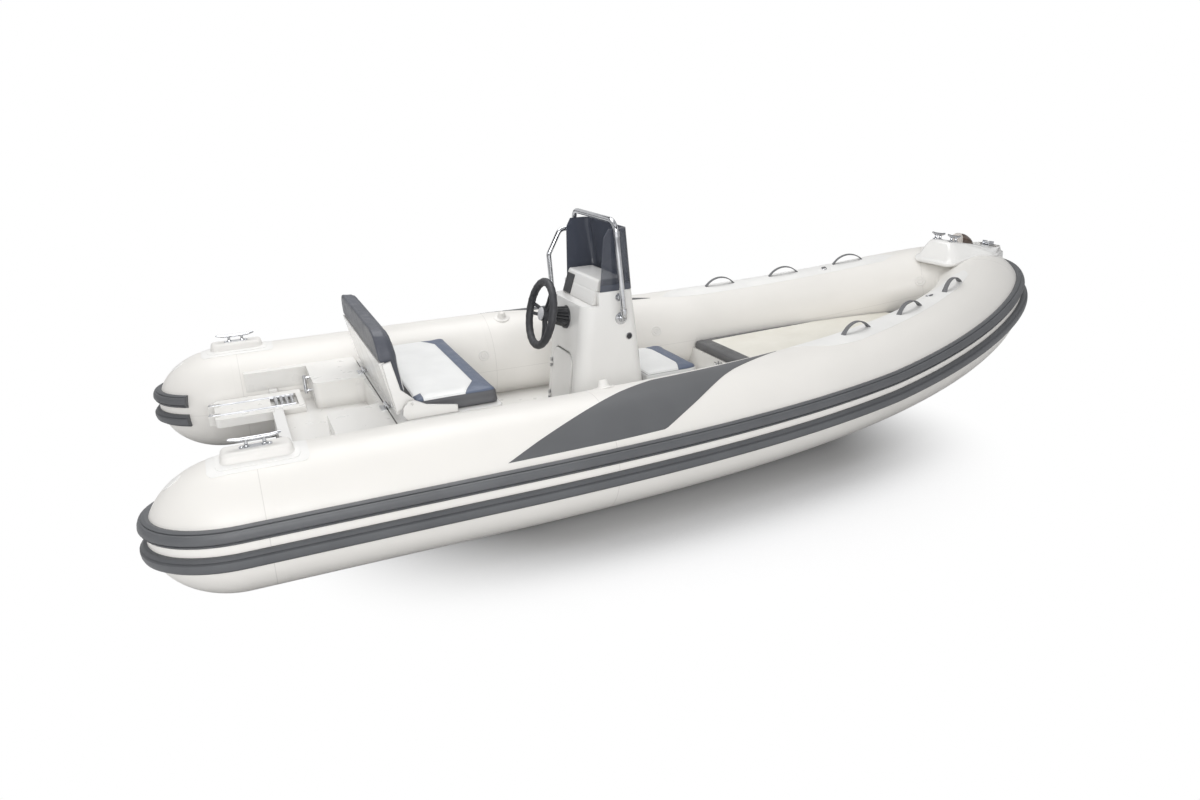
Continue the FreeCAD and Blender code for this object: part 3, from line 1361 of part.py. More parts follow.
# Bow eye: a pierced lug standing out of the stem
eye_x = value(station("eye_station"))
stem_point = Vector(eye_x, 0, keel_level(eye_x))
stem_slope = Vector(10, 0, keel_level(eye_x + 10) - keel_level(eye_x)).normalize()
stem_normal = Vector(stem_slope.z, 0, -stem_slope.x)
eye_centre = stem_point + stem_normal * value("eye_reach")
eye_thickness = value("eye_thickness")
eye_ring = Part.makeCylinder(value("eye_radius"), eye_thickness,
                             eye_centre - Vector(0, eye_thickness / 2, 0),
                             Vector(0, 1, 0))
eye_root = Part.makeBox(2 * value("eye_radius"), eye_thickness, value("eye_reach") + 8)
eye_root.Placement = FreeCAD.Placement(
    eye_centre - stem_slope * value("eye_radius") - Vector(0, eye_thickness / 2, 0),
    FreeCAD.Rotation(stem_slope, Vector(0, 1, 0), stem_normal * -1, "ZXY"))
eye_hole = Part.makeCylinder(value("eye_bore_radius"), eye_thickness + 20,
                             eye_centre - Vector(0, eye_thickness / 2 + 10, 0), Vector(0, 1, 0))
node("bow_eye", cut(feature(eye_ring.fuse(eye_root).cut(eye_hole).removeSplitter()), hull_solid))

doc.recompute()

faults = []
for item in doc.Objects:
    if "Invalid" in item.State or "Error" in item.State:
        faults.append("%s %s" % (item.Label, item.State))
for label, item in NODES.items():
    if item.Shape.isNull() or not item.Shape.isValid():
        faults.append("%s has no valid shape" % label)
    elif not item.Shape.Solids:
        faults.append("%s holds no solid" % label)
if faults:
    raise SystemExit("\n".join(faults))

os.makedirs("parts", exist_ok=True)
for label, item in NODES.items():
    item.Shape.exportStep("parts/%s.step" % label)
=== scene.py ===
import bpy
import bmesh
import math
import numpy as np
from mathutils import Matrix, Vector


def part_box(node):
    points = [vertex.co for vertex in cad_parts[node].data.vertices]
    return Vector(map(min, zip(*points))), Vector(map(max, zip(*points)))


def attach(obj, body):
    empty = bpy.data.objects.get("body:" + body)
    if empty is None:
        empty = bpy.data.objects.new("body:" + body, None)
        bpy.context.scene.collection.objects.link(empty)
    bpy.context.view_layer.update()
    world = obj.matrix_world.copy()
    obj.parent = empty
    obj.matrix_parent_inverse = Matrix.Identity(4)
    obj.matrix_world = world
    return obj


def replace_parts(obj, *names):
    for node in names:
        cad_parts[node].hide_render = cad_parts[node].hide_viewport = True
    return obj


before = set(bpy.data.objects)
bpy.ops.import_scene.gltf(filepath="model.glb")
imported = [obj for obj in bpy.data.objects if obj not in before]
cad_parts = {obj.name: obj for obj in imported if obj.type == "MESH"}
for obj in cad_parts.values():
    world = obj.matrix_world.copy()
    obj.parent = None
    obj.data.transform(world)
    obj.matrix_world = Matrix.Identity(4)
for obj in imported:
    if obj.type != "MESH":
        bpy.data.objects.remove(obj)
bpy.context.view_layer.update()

# Sizes are in metres. Stations, plans and lathe profiles are in millimetres.

X, Y, Z = Vector((1, 0, 0)), Vector((0, 1, 0)), Vector((0, 0, 1))
AMIDSHIPS = 2300


def st(station):
    """Millimetres forward of the stern tips, as metres in the row frame."""
    return (station - AMIDSHIPS) / 1000


def axes(point, x, y, z):
    """The matrix of a frame with its origin and its three directions."""
    return Matrix.Translation(point) @ Matrix((x, y, z)).transposed().to_4x4()


def facing(point, normal):
    """A matrix that stands local Z on a surface."""
    return Matrix.Translation(point) @ Z.rotation_difference(normal).to_matrix().to_4x4()


def circle(count):
    return [2 * math.pi * k / count for k in range(count)]


def signed_power(value, power):
    return math.copysign(abs(value) ** power, value)


def scaled(color, factor):
    return tuple(min(1, c * factor) for c in color)


# Camera: fitted to the photograph's two tubes

CAMERA_PLACE, LENS_LENGTH = (-1.918, -3.915, 1.657), 26.80
azimuth, elevation, roll = math.radians(67.24), math.radians(-19.23), math.radians(2.35)
camera_data = bpy.data.cameras.new("Camera")
camera = bpy.data.objects.new("Camera", camera_data)
bpy.context.scene.collection.objects.link(camera)
camera_data.sensor_width = 36
camera_data.lens = LENS_LENGTH
ahead = Vector((math.cos(elevation) * math.cos(azimuth), math.cos(elevation) * math.sin(azimuth), math.sin(elevation)))
level_right = ahead.cross(Z).normalized()
level_down = -level_right.cross(ahead).normalized()
right = level_right * math.cos(roll) + level_down * math.sin(roll)
down = level_down * math.cos(roll) - level_right * math.sin(roll)
camera.matrix_world = axes(CAMERA_PLACE, right, -down, -ahead)
bpy.context.scene.camera = camera
bpy.context.scene.view_settings.view_transform = "Standard"


# Materials

class Tree:
    """A node tree with short ways of adding nodes. An input takes a value or another node's output."""

    def __init__(self, tree):
        self.tree = tree

    def fill(self, socket, source):
        if hasattr(source, "is_output"):
            self.tree.links.new(source, socket)
        else:
            socket.default_value = source

    def add(self, kind, inputs=None, output=0, **settings):
        item = self.tree.nodes.new("ShaderNode" + kind)
        for key, setting in settings.items():
            setattr(item, key, setting)
        for key, source in (inputs or {}).items():
            self.fill(item.inputs[key], source)
        return item.outputs[output]

    def math(self, operation, *terms):
        return self.add("Math", dict(enumerate(terms)), operation=operation)

    def fold(self, operation, terms):
        """One value from many, such as the largest."""
        result = terms[0]
        for term in terms[1:]:
            result = self.math(operation, result, term)
        return result

    def where(self, output="Object"):
        return self.add("TexCoord", output=output)

    def xyz(self, vector):
        return self.add("SeparateXYZ", {0: vector}).node.outputs

    def noise(self, scale, detail):
        return self.add("TexNoise", {"Scale": scale, "Detail": detail, "Vector": self.where()})

    def ramp(self, factor, *stops):
        """A colour ramp through (place, colour) stops; the first two are its ends."""
        output = self.add("ValToRGB", {"Fac": factor})
        elements = output.node.color_ramp.elements
        for number, (place, color) in enumerate(stops):
            stop = elements[number] if number < 2 else elements.new(place)
            stop.position = place
            stop.color = (*color, 1)
        return output

    def cloudy(self, scale, detail, low, high):
        """Two tones that drift into each other."""
        return self.ramp(self.noise(scale, detail), (0.3, low), (0.7, high))

    def blend(self, factor, first, second):
        first, second = (c if hasattr(c, "is_output") else (*c, 1) for c in (first, second))
        return self.add("Mix", {0: factor, 6: first, 7: second}, 2, data_type="RGBA")

    def remap(self, value, low, high, to_low=0.0, to_high=1.0, **settings):
        return self.add("MapRange", {"Value": value, "From Min": low, "From Max": high, "To Min": to_low,
                                     "To Max": to_high}, **settings)

    def bump(self, height, strength, distance, base=None):
        inputs = {"Strength": strength, "Distance": distance, "Height": height}
        if base:
            inputs["Normal"] = base
        return self.add("Bump", inputs)

    def line(self, coordinate, place, half_width, soft):
        """1 on a thin line where the coordinate is near a place, 0 elsewhere."""
        gap = self.math("ABSOLUTE", self.math("SUBTRACT", coordinate, place))
        return self.remap(gap, half_width, half_width + soft, 1.0, 0.0)

    def band(self, coordinate, low, high, soft):
        return self.line(coordinate, (low + high) / 2, (high - low) / 2 - soft, soft)


class Shader(Tree):
    """A principled material. Its object is in .material."""

    def __init__(self, name, color, roughness, metallic=0.0, **sockets):
        self.material = bpy.data.materials.new(name)
        self.material.use_nodes = True
        super().__init__(self.material.node_tree)
        self.set("Base Color", (*color, 1.0))
        self.set("Roughness", roughness)
        self.set("Metallic", metallic)
        for socket, source in sockets.items():
            self.set(socket.replace("_", " "), source)

    def set(self, socket, source):
        self.fill(self.tree.nodes["Principled BSDF"].inputs[socket], source)


FABRIC = (0.82, 0.80, 0.765)
SEAM_COLOR = (0.46, 0.44, 0.42)
TAPE_WIDTH, LINE_HALF, LINE_SOFT = 0.032, 0.0006, 0.0012
LENGTHWISE_SEAMS = ((183.0, 0.85), (221.0, 0.6), (228.0, 0.6))


def tube_fabric(seam_places):
    """Coated fabric with bonded tapes across the tube and seams at angles along it."""
    s = Shader("tube_fabric", FABRIC, 0.38, Specular_IOR_Level=0.45)
    along, around, _ = s.xyz(s.add("UVMap"))
    tint = s.ramp(s.noise(2.2, 4), (0.35, (0.80, 0.783, 0.750)), (0.7, (0.835, 0.815, 0.782)))
    marks = [s.line(along, place, LINE_HALF, LINE_SOFT) for place in seam_places]
    marks += [s.math("MULTIPLY", s.line(around, angle / 360, 0.00035, 0.0007), strength)
              for angle, strength in LENGTHWISE_SEAMS]
    tapes = [s.band(along, place, place + TAPE_WIDTH, LINE_SOFT) for place in seam_places]
    s.set("Base Color", s.blend(s.math("MULTIPLY", s.fold("MAXIMUM", marks), 0.42), tint, SEAM_COLOR))
    s.set("Roughness", s.remap(s.noise(9, 3), 0.3, 0.7, 0.33, 0.43))
    height = s.math("ADD", s.math("MULTIPLY", s.noise(650, 2), 0.10),
                    s.math("MULTIPLY", s.fold("MAXIMUM", tapes), 0.9))
    s.set("Normal", s.bump(height, 0.35, 0.0009))
    return s.material


def patch_fabric(name, color, roughness):
    s = Shader(name, color, roughness, Specular_IOR_Level=0.4)
    s.set("Base Color", s.cloudy(5, 4, scaled(color, 0.94), scaled(color, 1.04)))
    s.set("Normal", s.bump(s.noise(700, 2), 0.2, 0.0004))
    return s.material


def strake_rubber():
    """Dusty rubber with fine ridges along it."""
    s = Shader("strake_rubber", (0.098, 0.103, 0.111), 0.46, Specular_IOR_Level=0.5)
    across = s.xyz(s.add("UVMap"))["Y"]
    color = s.ramp(s.noise(4, 5), (0.3, (0.088, 0.092, 0.099)), (0.72, (0.110, 0.115, 0.123)))
    s.set("Base Color", s.blend(s.math("MULTIPLY", s.noise(38, 4), 0.18), color, (0.17, 0.172, 0.178)))
    ridges = s.remap(s.math("SINE", s.math("MULTIPLY", across, 190.0)), -1.0, 1.0)
    height = s.math("ADD", s.math("MULTIPLY", ridges, 0.25), s.math("MULTIPLY", s.noise(420, 2), 0.3))
    s.set("Normal", s.bump(height, 0.25, 0.0006))
    return s.material


def gelcoat(name, color, roughness, edge):
    """Glossy moulded surface: faint waviness, painted shade that darkens its creases and, where edge isn't 0, softened
    edges.
    """
    s = Shader(name, color, roughness, Coat_Weight=0.25, Coat_Roughness=0.08, Specular_IOR_Level=0.5)
    # Painted shade: ambient occlusion blends the colour towards a dim copy of itself in creases and corners.
    near = s.add("AmbientOcclusion", {"Distance": 0.05}, "AO", samples=5)
    painted_crease_shade = s.math("MULTIPLY", s.math("SUBTRACT", 1.0, near), 0.7)
    shade = (color[0] * 0.50, color[1] * 0.48, color[2] * 0.46)
    s.set("Base Color", s.blend(painted_crease_shade, s.cloudy(1.7, 4, scaled(color, 0.965), scaled(color, 1.02)), shade))
    s.set("Roughness", s.remap(s.noise(14, 4), 0.25, 0.75, roughness * 0.75, roughness * 1.3))
    soft = s.add("Bevel", {"Radius": edge}, samples=6) if edge else None
    s.set("Normal", s.bump(s.noise(11, 2), 0.06, 0.003, soft))
    return s.material


def stainless(name, roughness):
    s = Shader(name, (0.58, 0.59, 0.61), roughness, 1.0)
    s.set("Base Color", s.cloudy(30, 3, (0.52, 0.53, 0.55), (0.64, 0.65, 0.67)))
    s.set("Roughness", s.remap(s.noise(90, 4), 0.3, 0.7, roughness * 0.6, roughness * 1.7))
    s.set("Normal", s.bump(s.noise(260, 2), 0.04, 0.0003))
    return s.material


def plastic(name, color, roughness):
    s = Shader(name, color, roughness)
    s.set("Base Color", s.cloudy(40, 4, scaled(color, 0.85), scaled(color, 1.15)))
    s.set("Normal", s.bump(s.noise(900, 2), 0.15, 0.0003))
    return s.material


def woven(name, color):
    s = Shader(name, color, 0.75)
    wave = s.add("TexWave", {"Scale": 260.0, "Distortion": 1.0, "Vector": s.where()}, "Fac", wave_type="BANDS",
                 bands_direction="DIAGONAL")
    s.set("Base Color", s.ramp(wave, (0.2, scaled(color, 0.75)), (0.8, scaled(color, 1.2))))
    s.set("Normal", s.bump(wave, 0.5, 0.0006))
    return s.material


def tinted(name, color, front_alpha, side_alpha, foot_level):
    """A tinted clear sheet. The starboard wing lets more light through, and below the foot level little passes."""
    s = Shader(name, color, 0.04, Specular_IOR_Level=0.6)
    s.set("Normal", s.bump(s.noise(3, 2), 0.05, 0.002))
    across = s.xyz(s.add("NewGeometry", output="Normal"))["Y"]
    _, y, z = s.xyz(s.where())
    wing = s.remap(y, -0.05, 0.05, side_alpha, front_alpha)
    pane = s.remap(s.math("ABSOLUTE", across), 0.55, 0.85, front_alpha, wing)
    foot = s.remap(z, foot_level - 0.001, foot_level + 0.001, 0.97, 0.0)
    s.set("Alpha", s.math("MAXIMUM", pane, foot))
    return s.material


def light_housing(name, parting):
    """A pale housing aft of the parting station with a dark lens forward of it."""
    s = Shader(name, (0.1, 0.07, 0.055), 0.14, Coat_Weight=0.5)
    aft = s.remap(s.xyz(s.where())["X"], st(parting - 1), st(parting + 1), 1.0, 0.0)
    lens = s.cloudy(60, 3, (0.075, 0.05, 0.038), (0.13, 0.09, 0.07))
    housing = s.cloudy(30, 3, (0.60, 0.56, 0.52), (0.70, 0.66, 0.62))
    s.set("Base Color", s.blend(aft, lens, housing))
    s.set("Normal", s.bump(s.noise(300, 2), 0.08, 0.0004))
    return s.material


# Looks: a material paired with a slot name
GEL = gelcoat("gelcoat", (0.84, 0.835, 0.82), 0.20, 0.009), "gelcoat"
HULL = gelcoat("hull_gelcoat", (0.80, 0.785, 0.765), 0.24, 0.004), "gelcoat"
DECK = gelcoat("deck_gelcoat", (0.81, 0.80, 0.775), 0.32, 0.0), "deck_gelcoat"
STEEL = stainless("stainless", 0.10), "stainless"
LADDER = stainless("ladder_steel", 0.34), "stainless"
BLACK = plastic("black_plastic", (0.035, 0.036, 0.040), 0.42), "black_plastic"
GRIP = plastic("wheel_grip", (0.040, 0.041, 0.046), 0.55), "black_plastic"
GLOSS = plastic("gloss_black", (0.022, 0.023, 0.026), 0.18), "black_plastic"
SILVER = plastic("silver_plastic", (0.55, 0.55, 0.57), 0.25), "silver_plastic"
WHITE_RUBBER = patch_fabric("white_rubber", (0.80, 0.785, 0.76), 0.45), "white_rubber"
WEAR = patch_fabric("wear_patch", (0.84, 0.835, 0.82), 0.5), "white_rubber"
SWOOSH = patch_fabric("swoosh_grey", (0.115, 0.119, 0.125), 0.5), "strake_rubber"
RUBBER = strake_rubber(), "strake_rubber"
STRAP = woven("grey_strap", (0.17, 0.172, 0.18)), "grey_strap"
SCREEN = tinted("tinted_screen", (0.070, 0.078, 0.102), 0.935, 0.55, 0.804), "tinted_screen"
LIGHT = light_housing("navigation_light", 4304), "dark_lens"


def paint(look, *names):
    """Give carried-over nodes their finished material."""
    for name in names:
        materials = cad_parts[name].data.materials
        materials.clear()
        materials.append(look[0])


paint(GEL, "seat_base", "seat_lid", "backrest_brackets", "backrest_shell", "backrest_arms", "console_body", "binnacle",
      "console_door", "console_seat_base", "bow_locker_door", "transom")
paint(DECK, "cockpit_sole", "aft_deck", "swim_platform", "bow_locker")
paint(HULL, "hull")
paint(LADDER, "boarding_ladder")
paint(STEEL, "boarding_handle", "fixed_hinges", "lid_hinges_moving", "bow_roller", "bow_eye")
paint(BLACK, "switch_panel")
paint(SCREEN, "windscreen")


# Mesh helpers

def finish(name, verts, faces, look, body=None, angle=35, uv=None):
    """A mesh object from plain lists, shaded smooth apart from its sharp edges."""
    mesh = bpy.data.meshes.new(name)
    mesh.from_pydata([tuple(v) for v in verts], [], faces)
    item = bpy.data.objects.new(name, mesh)
    bpy.context.scene.collection.objects.link(item)
    if uv:
        layer = mesh.uv_layers.new(name="UVMap")
        for polygon in mesh.polygons:
            for loop in polygon.loop_indices:
                layer.data[loop].uv = uv(polygon.index, mesh.loops[loop].vertex_index)
    material, slot = look
    mesh.materials.append(material)
    settle(item, angle)
    if body:
        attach(item, body)
    return item


def settle(item, angle):
    """Outward normals, smooth faces, and edges sharp above an angle in degrees."""
    work = bmesh.new()
    work.from_mesh(item.data)
    bmesh.ops.recalc_face_normals(work, faces=work.faces)
    for face in work.faces:
        face.smooth = True
    for edge in work.edges:
        if len(edge.link_faces) == 2:
            edge.smooth = edge.calc_face_angle(0) < math.radians(angle)
    work.to_mesh(item.data)
    work.free()
    item.data.update()


def rings_mesh(name, rings, look, body=None, angle=50, closed=True, caps=True, uv=None):
    """A skin through rings of equal count."""
    count = len(rings[0])
    faces = []
    for row in range(len(rings) - 1):
        for column in range(count if closed else count - 1):
            a = row * count + column
            b = row * count + (column + 1) % count
            faces.append((a, b, b + count, a + count))
    if caps:
        faces.append(tuple(reversed(range(count))))
        faces.append(tuple((len(rings) - 1) * count + index for index in range(count)))
    return finish(name, [point for ring in rings for point in ring], faces, look, body, angle, uv)


def apply_modifiers(item):
    bpy.context.view_layer.update()
    evaluated = item.evaluated_get(bpy.context.evaluated_depsgraph_get())
    mesh = bpy.data.meshes.new_from_object(evaluated)
    item.modifiers.clear()
    item.data = mesh


def prism(name, outline, low, high, place, look, bevel=0.0):
    """An outline pushed along Z, with rounded edges, set by a matrix."""
    count = len(outline)
    verts = [(a, b, level) for level in (low, high) for a, b in outline]
    faces = [tuple(range(count)), tuple(reversed(range(count, 2 * count)))]
    faces += [(i, (i + 1) % count, (i + 1) % count + count, i + count) for i in range(count)]
    item = finish(name, verts, faces, look)
    if bevel:
        rounding = item.modifiers.new("Bevel", "BEVEL")
        rounding.width = bevel
        rounding.segments = 3
        rounding.limit_method = "ANGLE"
        rounding.angle_limit = math.radians(40)
        apply_modifiers(item)
        settle(item, 32)
    item.data.transform(place)
    return item


def turned_corner(before, corner, after, radius, steps):
    """Points on the arc that turns a corner, in two or three dimensions."""
    first, second = (before - corner).normalized(), (after - corner).normalized()
    half = first.angle(second) / 2
    reach = min(radius / math.tan(half), (before - corner).length * 0.49, (after - corner).length * 0.49)
    centre = corner + (first + second).normalized() * (reach * math.tan(half) / math.sin(half))
    start, end = corner + first * reach - centre, corner + second * reach - centre
    swept = start.angle(end)
    return [centre + (start * math.sin(swept * (1 - k / steps)) + end * math.sin(swept * k / steps)) / math.sin(swept)
            for k in range(steps + 1)]


def rounded(points, radius, steps=5):
    """An outline with its corners turned on arcs; radius is one number or one for each corner."""
    points = [Vector(p) for p in points]
    radii = radius if isinstance(radius, list) else [radius] * len(points)
    following = points[1:] + points[:1]
    result = []
    for index, (corner, after, turn) in enumerate(zip(points, following, radii)):
        result += [tuple(p) for p in turned_corner(points[index - 1], corner, after, turn, steps)]
    return result


def rectangle(half_x, half_y):
    return [(-half_x, -half_y), (half_x, -half_y), (half_x, half_y), (-half_x, half_y)]


def sweep(name, points, radius, look, bend=0.0, sides=20, flat=1.0):
    """A round bar along straight runs joined by arcs; radius may be a list with one for each path point."""
    path = [Vector(p) for p in points]
    if bend:
        corners = zip(path, path[1:], path[2:])
        path = path[:1] + [p for trio in corners for p in turned_corner(*trio, bend, 8)] + path[-1:]
    radii = radius if isinstance(radius, list) else [radius] * len(path)
    last = len(path) - 1
    tangents = [(path[min(i + 1, last)] - path[max(i - 1, 0)]).normalized() for i in range(len(path))]
    side = tangents[0].orthogonal().normalized()
    rings = []
    for point, tangent, size in zip(path, tangents, radii):
        side = (side - tangent * side.dot(tangent)).normalized()
        other = tangent.cross(side)
        rings.append([point + side * math.cos(a) * size + other * math.sin(a) * size * flat for a in circle(sides)])
    return rings_mesh(name, rings, look)


def lathe(name, profile, place, look, sides=40, body=None, ribs=0, rib_depth=0.0):
    """A profile of (radius, height) pairs in millimetres, turned about local Z and set by a matrix."""
    rings = []
    for size, height in profile:
        ring = []
        for a in circle(sides):
            wave = 1 - rib_depth * (0.5 + 0.5 * math.cos(ribs * a)) ** 4 if ribs else 1
            reach = max(size, 0.01) * wave
            ring.append(place @ (Vector((reach * math.cos(a), reach * math.sin(a), height)) / 1000))
        rings.append(ring)
    return rings_mesh(name, rings, look, body, 32)


def joined(name, items, body="boat"):
    """Several meshes as one object."""
    mesh = bpy.data.meshes.new(name)
    work = bmesh.new()
    materials = []
    for item in items:
        source = item.data
        source.transform(item.matrix_world)
        for polygon in source.polygons:
            material = source.materials[polygon.material_index]
            if material not in materials:
                materials.append(material)
            polygon.material_index = materials.index(material)
        work.from_mesh(source)
        bpy.data.objects.remove(item)
    work.to_mesh(mesh)
    work.free()
    for material in materials:
        mesh.materials.append(material)
    result = bpy.data.objects.new(name, mesh)
    bpy.context.scene.collection.objects.link(result)
    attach(result, body)
    return result


def both_sides(name, build):
    """What build() makes for starboard, and the same again mirrored across the keel."""
    items = build()
    for item in build():
        item.data.transform(Matrix.Scale(-1, 4, Y))
        item.data.flip_normals()
        items.append(item)
    return joined(name, items)


# Tubes: the same path as the solids

LENGTH, SPREAD, LEVEL, RISE = 4.6, 0.78, 0.26, 0.227
STERN_R, BOW_R, BEND, DOME = 0.245, 0.226, 1.323, 0.30
REACH = LENGTH - BOW_R - BEND
STERN_TIP = st(0)
ALONG_POWER, ACROSS_POWER, RISE_POWER = 1.013, 0.9725, 3.53


def tube_centre(turn):
    angle = turn * math.pi / 2
    along = REACH * max(math.sin(angle), 0) ** ALONG_POWER
    across = SPREAD * max(math.cos(angle), 0) ** ACROSS_POWER
    return Vector((STERN_TIP + BEND + along, -across, LEVEL + RISE * (along / REACH) ** RISE_POWER))


def tube_frame(turn):
    """Centre, direction, outboard, up and radius of the starboard tube; a turn of 1 is the stem."""
    if turn <= 0:
        direction = X
    elif turn >= 1:
        direction = Y
    else:
        direction = (tube_centre(min(turn + 0.002, 1)) - tube_centre(turn - 0.002)).normalized()
    outboard = direction.cross(Z).normalized()
    up = outboard.cross(direction).normalized()
    centre = tube_centre(max(turn, 0))
    radius = STERN_R + (BOW_R - STERN_R) * (centre.x - STERN_TIP - BEND) / REACH
    return centre, direction, outboard, up, radius


def bisect(low, high, below, steps):
    """The place between low and high where below(place) ends."""
    for _ in range(steps):
        middle = (low + high) / 2
        low, high = (middle, high) if below(middle) else (low, middle)
    return low, high


def turn_at(x):
    return sum(bisect(0.0, 1.0, lambda turn: tube_centre(turn).x < x, 40)) / 2


def tube_place(station, angle, lift=0.0):
    """Point, along and outward directions on the starboard tube; the angle in degrees is up from outboard."""
    x = st(station)
    straight = station < BEND * 1000
    centre, direction, outboard, up, radius = tube_frame(0 if straight else turn_at(x))
    if straight:
        centre = Vector((x, -SPREAD, LEVEL))
    a = math.radians(angle)
    outward = outboard * math.cos(a) + up * math.sin(a)
    back = DOME - station / 1000
    if back > 0:
        shrink = math.sqrt(max(0, 1 - (back / DOME) ** 2))
        normal = (outward * shrink / radius - direction * back / DOME ** 2).normalized()
        return centre + outward * radius * shrink + normal * lift, direction, normal
    return centre + outward * (radius + lift), direction, outward


DOME_RINGS, STRAIGHT_RINGS, BEND_RINGS = 22, 12, 96


def tube_rings():
    """Rings round the starboard tube from the stern tip to the stem, each with its distance along."""
    frames = []
    for k in range(1, DOME_RINGS):
        a = k / DOME_RINGS * math.pi / 2
        centre = Vector((STERN_TIP + DOME - DOME * math.cos(a), -SPREAD, LEVEL))
        frames.append((centre, X, -Y, Z, STERN_R * math.sin(a)))
    for k in range(STRAIGHT_RINGS + 1):
        centre = Vector((STERN_TIP + DOME + (BEND - DOME) * k / STRAIGHT_RINGS, -SPREAD, LEVEL))
        frames.append((centre, X, -Y, Z, STERN_R))
    frames += [tube_frame(k / BEND_RINGS) for k in range(1, BEND_RINGS + 1)]
    distance, last, rings = 0.0, frames[0][0], []
    for ring in frames:
        distance += (ring[0] - last).length
        last = ring[0]
        rings.append((ring, distance))
    return rings


ALL_RINGS = tube_rings()
HALF_LENGTH = ALL_RINGS[-1][1]


def distance_at(station):
    """Distance along the starboard tube's centre at a station."""
    return next((distance for ring, distance in ALL_RINGS if ring[0].x >= st(station)), HALF_LENGTH)


seam_places = [distance_at(station) for station in (302, 1658, 4262)]
seam_places += [2 * HALF_LENGTH - place for place in seam_places]
SIDES = 112


def tube_skin():
    rings = [(r, d, 1) for r, d in ALL_RINGS] + [(r, 2 * HALF_LENGTH - d, -1) for r, d in reversed(ALL_RINGS[:-1])]
    verts, uvs, faces = [], [], []
    for (centre, _, outboard, up, radius), distance, side in rings:
        for k, turn in enumerate(circle(SIDES)):
            a = turn - math.pi / 2
            point = centre + outboard * math.cos(a) * radius + up * math.sin(a) * radius
            verts.append((point.x, point.y * side, point.z))
            uvs.append((distance, (k / SIDES - 0.25)))
    last_row = (len(rings) - 1) * SIDES
    for row in range(0, last_row, SIDES):
        for k in range(SIDES):
            a, b = row + k, row + (k + 1) % SIDES
            faces.append((a, b, b + SIDES, a + SIDES))
    quads, tip = len(faces), len(verts)
    verts += [(STERN_TIP, -SPREAD, LEVEL), (STERN_TIP, SPREAD, LEVEL)]
    uvs += [(0.0, 0.0), (2 * HALF_LENGTH, 0.0)]
    for k in range(SIDES):
        faces.append((tip, (k + 1) % SIDES, k))
        faces.append((tip + 1, last_row + k, last_row + (k + 1) % SIDES))

    def uv(face, vertex):
        u, v = uvs[vertex]
        wraps = face < quads and face % SIDES == SIDES - 1 and vertex % SIDES == 0
        return (u, v + 1.0 if wraps else v)

    return finish("tube_skin", verts, faces, (tube_fabric(seam_places), "tube_fabric"), "boat", 60, uv)


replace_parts(tube_skin(), "tube_starboard", "tube_port", "tube_bow")


def tube_patch(name, first, last, low, high, lift, look, columns=90, rows=14):
    """A thin sheet bonded to both tubes, between two angles given along the stations."""
    for side, end in ((1, "_starboard"), (-1, "_port")):
        rings = []
        for i in range(columns + 1):
            station = first + (last - first) * i / columns
            bottom, top = low(station), high(station)
            ring = [tube_place(station, bottom, -0.001)[0]]
            ring += [tube_place(station, bottom + (top - bottom) * j / rows, lift)[0] for j in range(rows + 1)]
            ring.append(tube_place(station, top, -0.001)[0])
            rings.append([Vector((p.x, p.y * side, p.z)) for p in ring])
        rings_mesh(name + end, rings, look, "boat", 60, False, False)


def through(*points):
    """A function that follows (station, angle) points with straight runs."""
    stations, angles = zip(*points)
    return lambda station: float(np.interp(station, stations, angles))


# The grey swoosh on the tubes' sides
swoosh_lower = through((1231, 27.4), (1684, 27.8), (1883, 28.6), (2067, 50), (2225, 70), (2262, 74.5), (2330, 81.5),
                       (2430, 89.5), (2560, 99), (2650, 106))
swoosh_upper = through((1231, 27.4), (1374, 42.5), (1774, 82), (1953, 97), (2300, 100), (2560, 104.5), (2650, 106))
tube_patch("swoosh", 1231, 2650, swoosh_lower, swoosh_upper, 0.0012, SWOOSH)



# Strakes

STRAKE_HEIGHT, STRAKE_GAP, STRAKE_DEPTH, STRAKE_TOP = 0.060, 0.033, 0.030, 21.3
STRAKE_END, STRAKE_LEAN = math.radians(146), math.radians(18)


def strake_outline():
    """The half round rib between two grooved lips, as (up, outward) points."""
    half, depth = STRAKE_HEIGHT / 2, STRAKE_DEPTH
    lip = [(-half, -0.004), (-half, 0.34 * depth), (-half + 0.0015, 0.42 * depth)]
    lip += [(-a * half, b * depth) for a, b in ((0.76, 0.66), (0.72, 0.70), (0.69, 0.66), (0.665, 0.56), (0.64, 0.56),
                                                (0.58, 0.80), (0.5, 0.92))]
    crown = [(a * half, depth * (1 - 0.32 * a * a)) for a in (-0.5 + k / 6 for k in range(1, 6))]
    return lip + crown + [(-a, b) for a, b in reversed(lip)]


OUTLINE = strake_outline()


def strake_ring(point, outward, up):
    return [point + up * a + outward * b for a, b in OUTLINE]


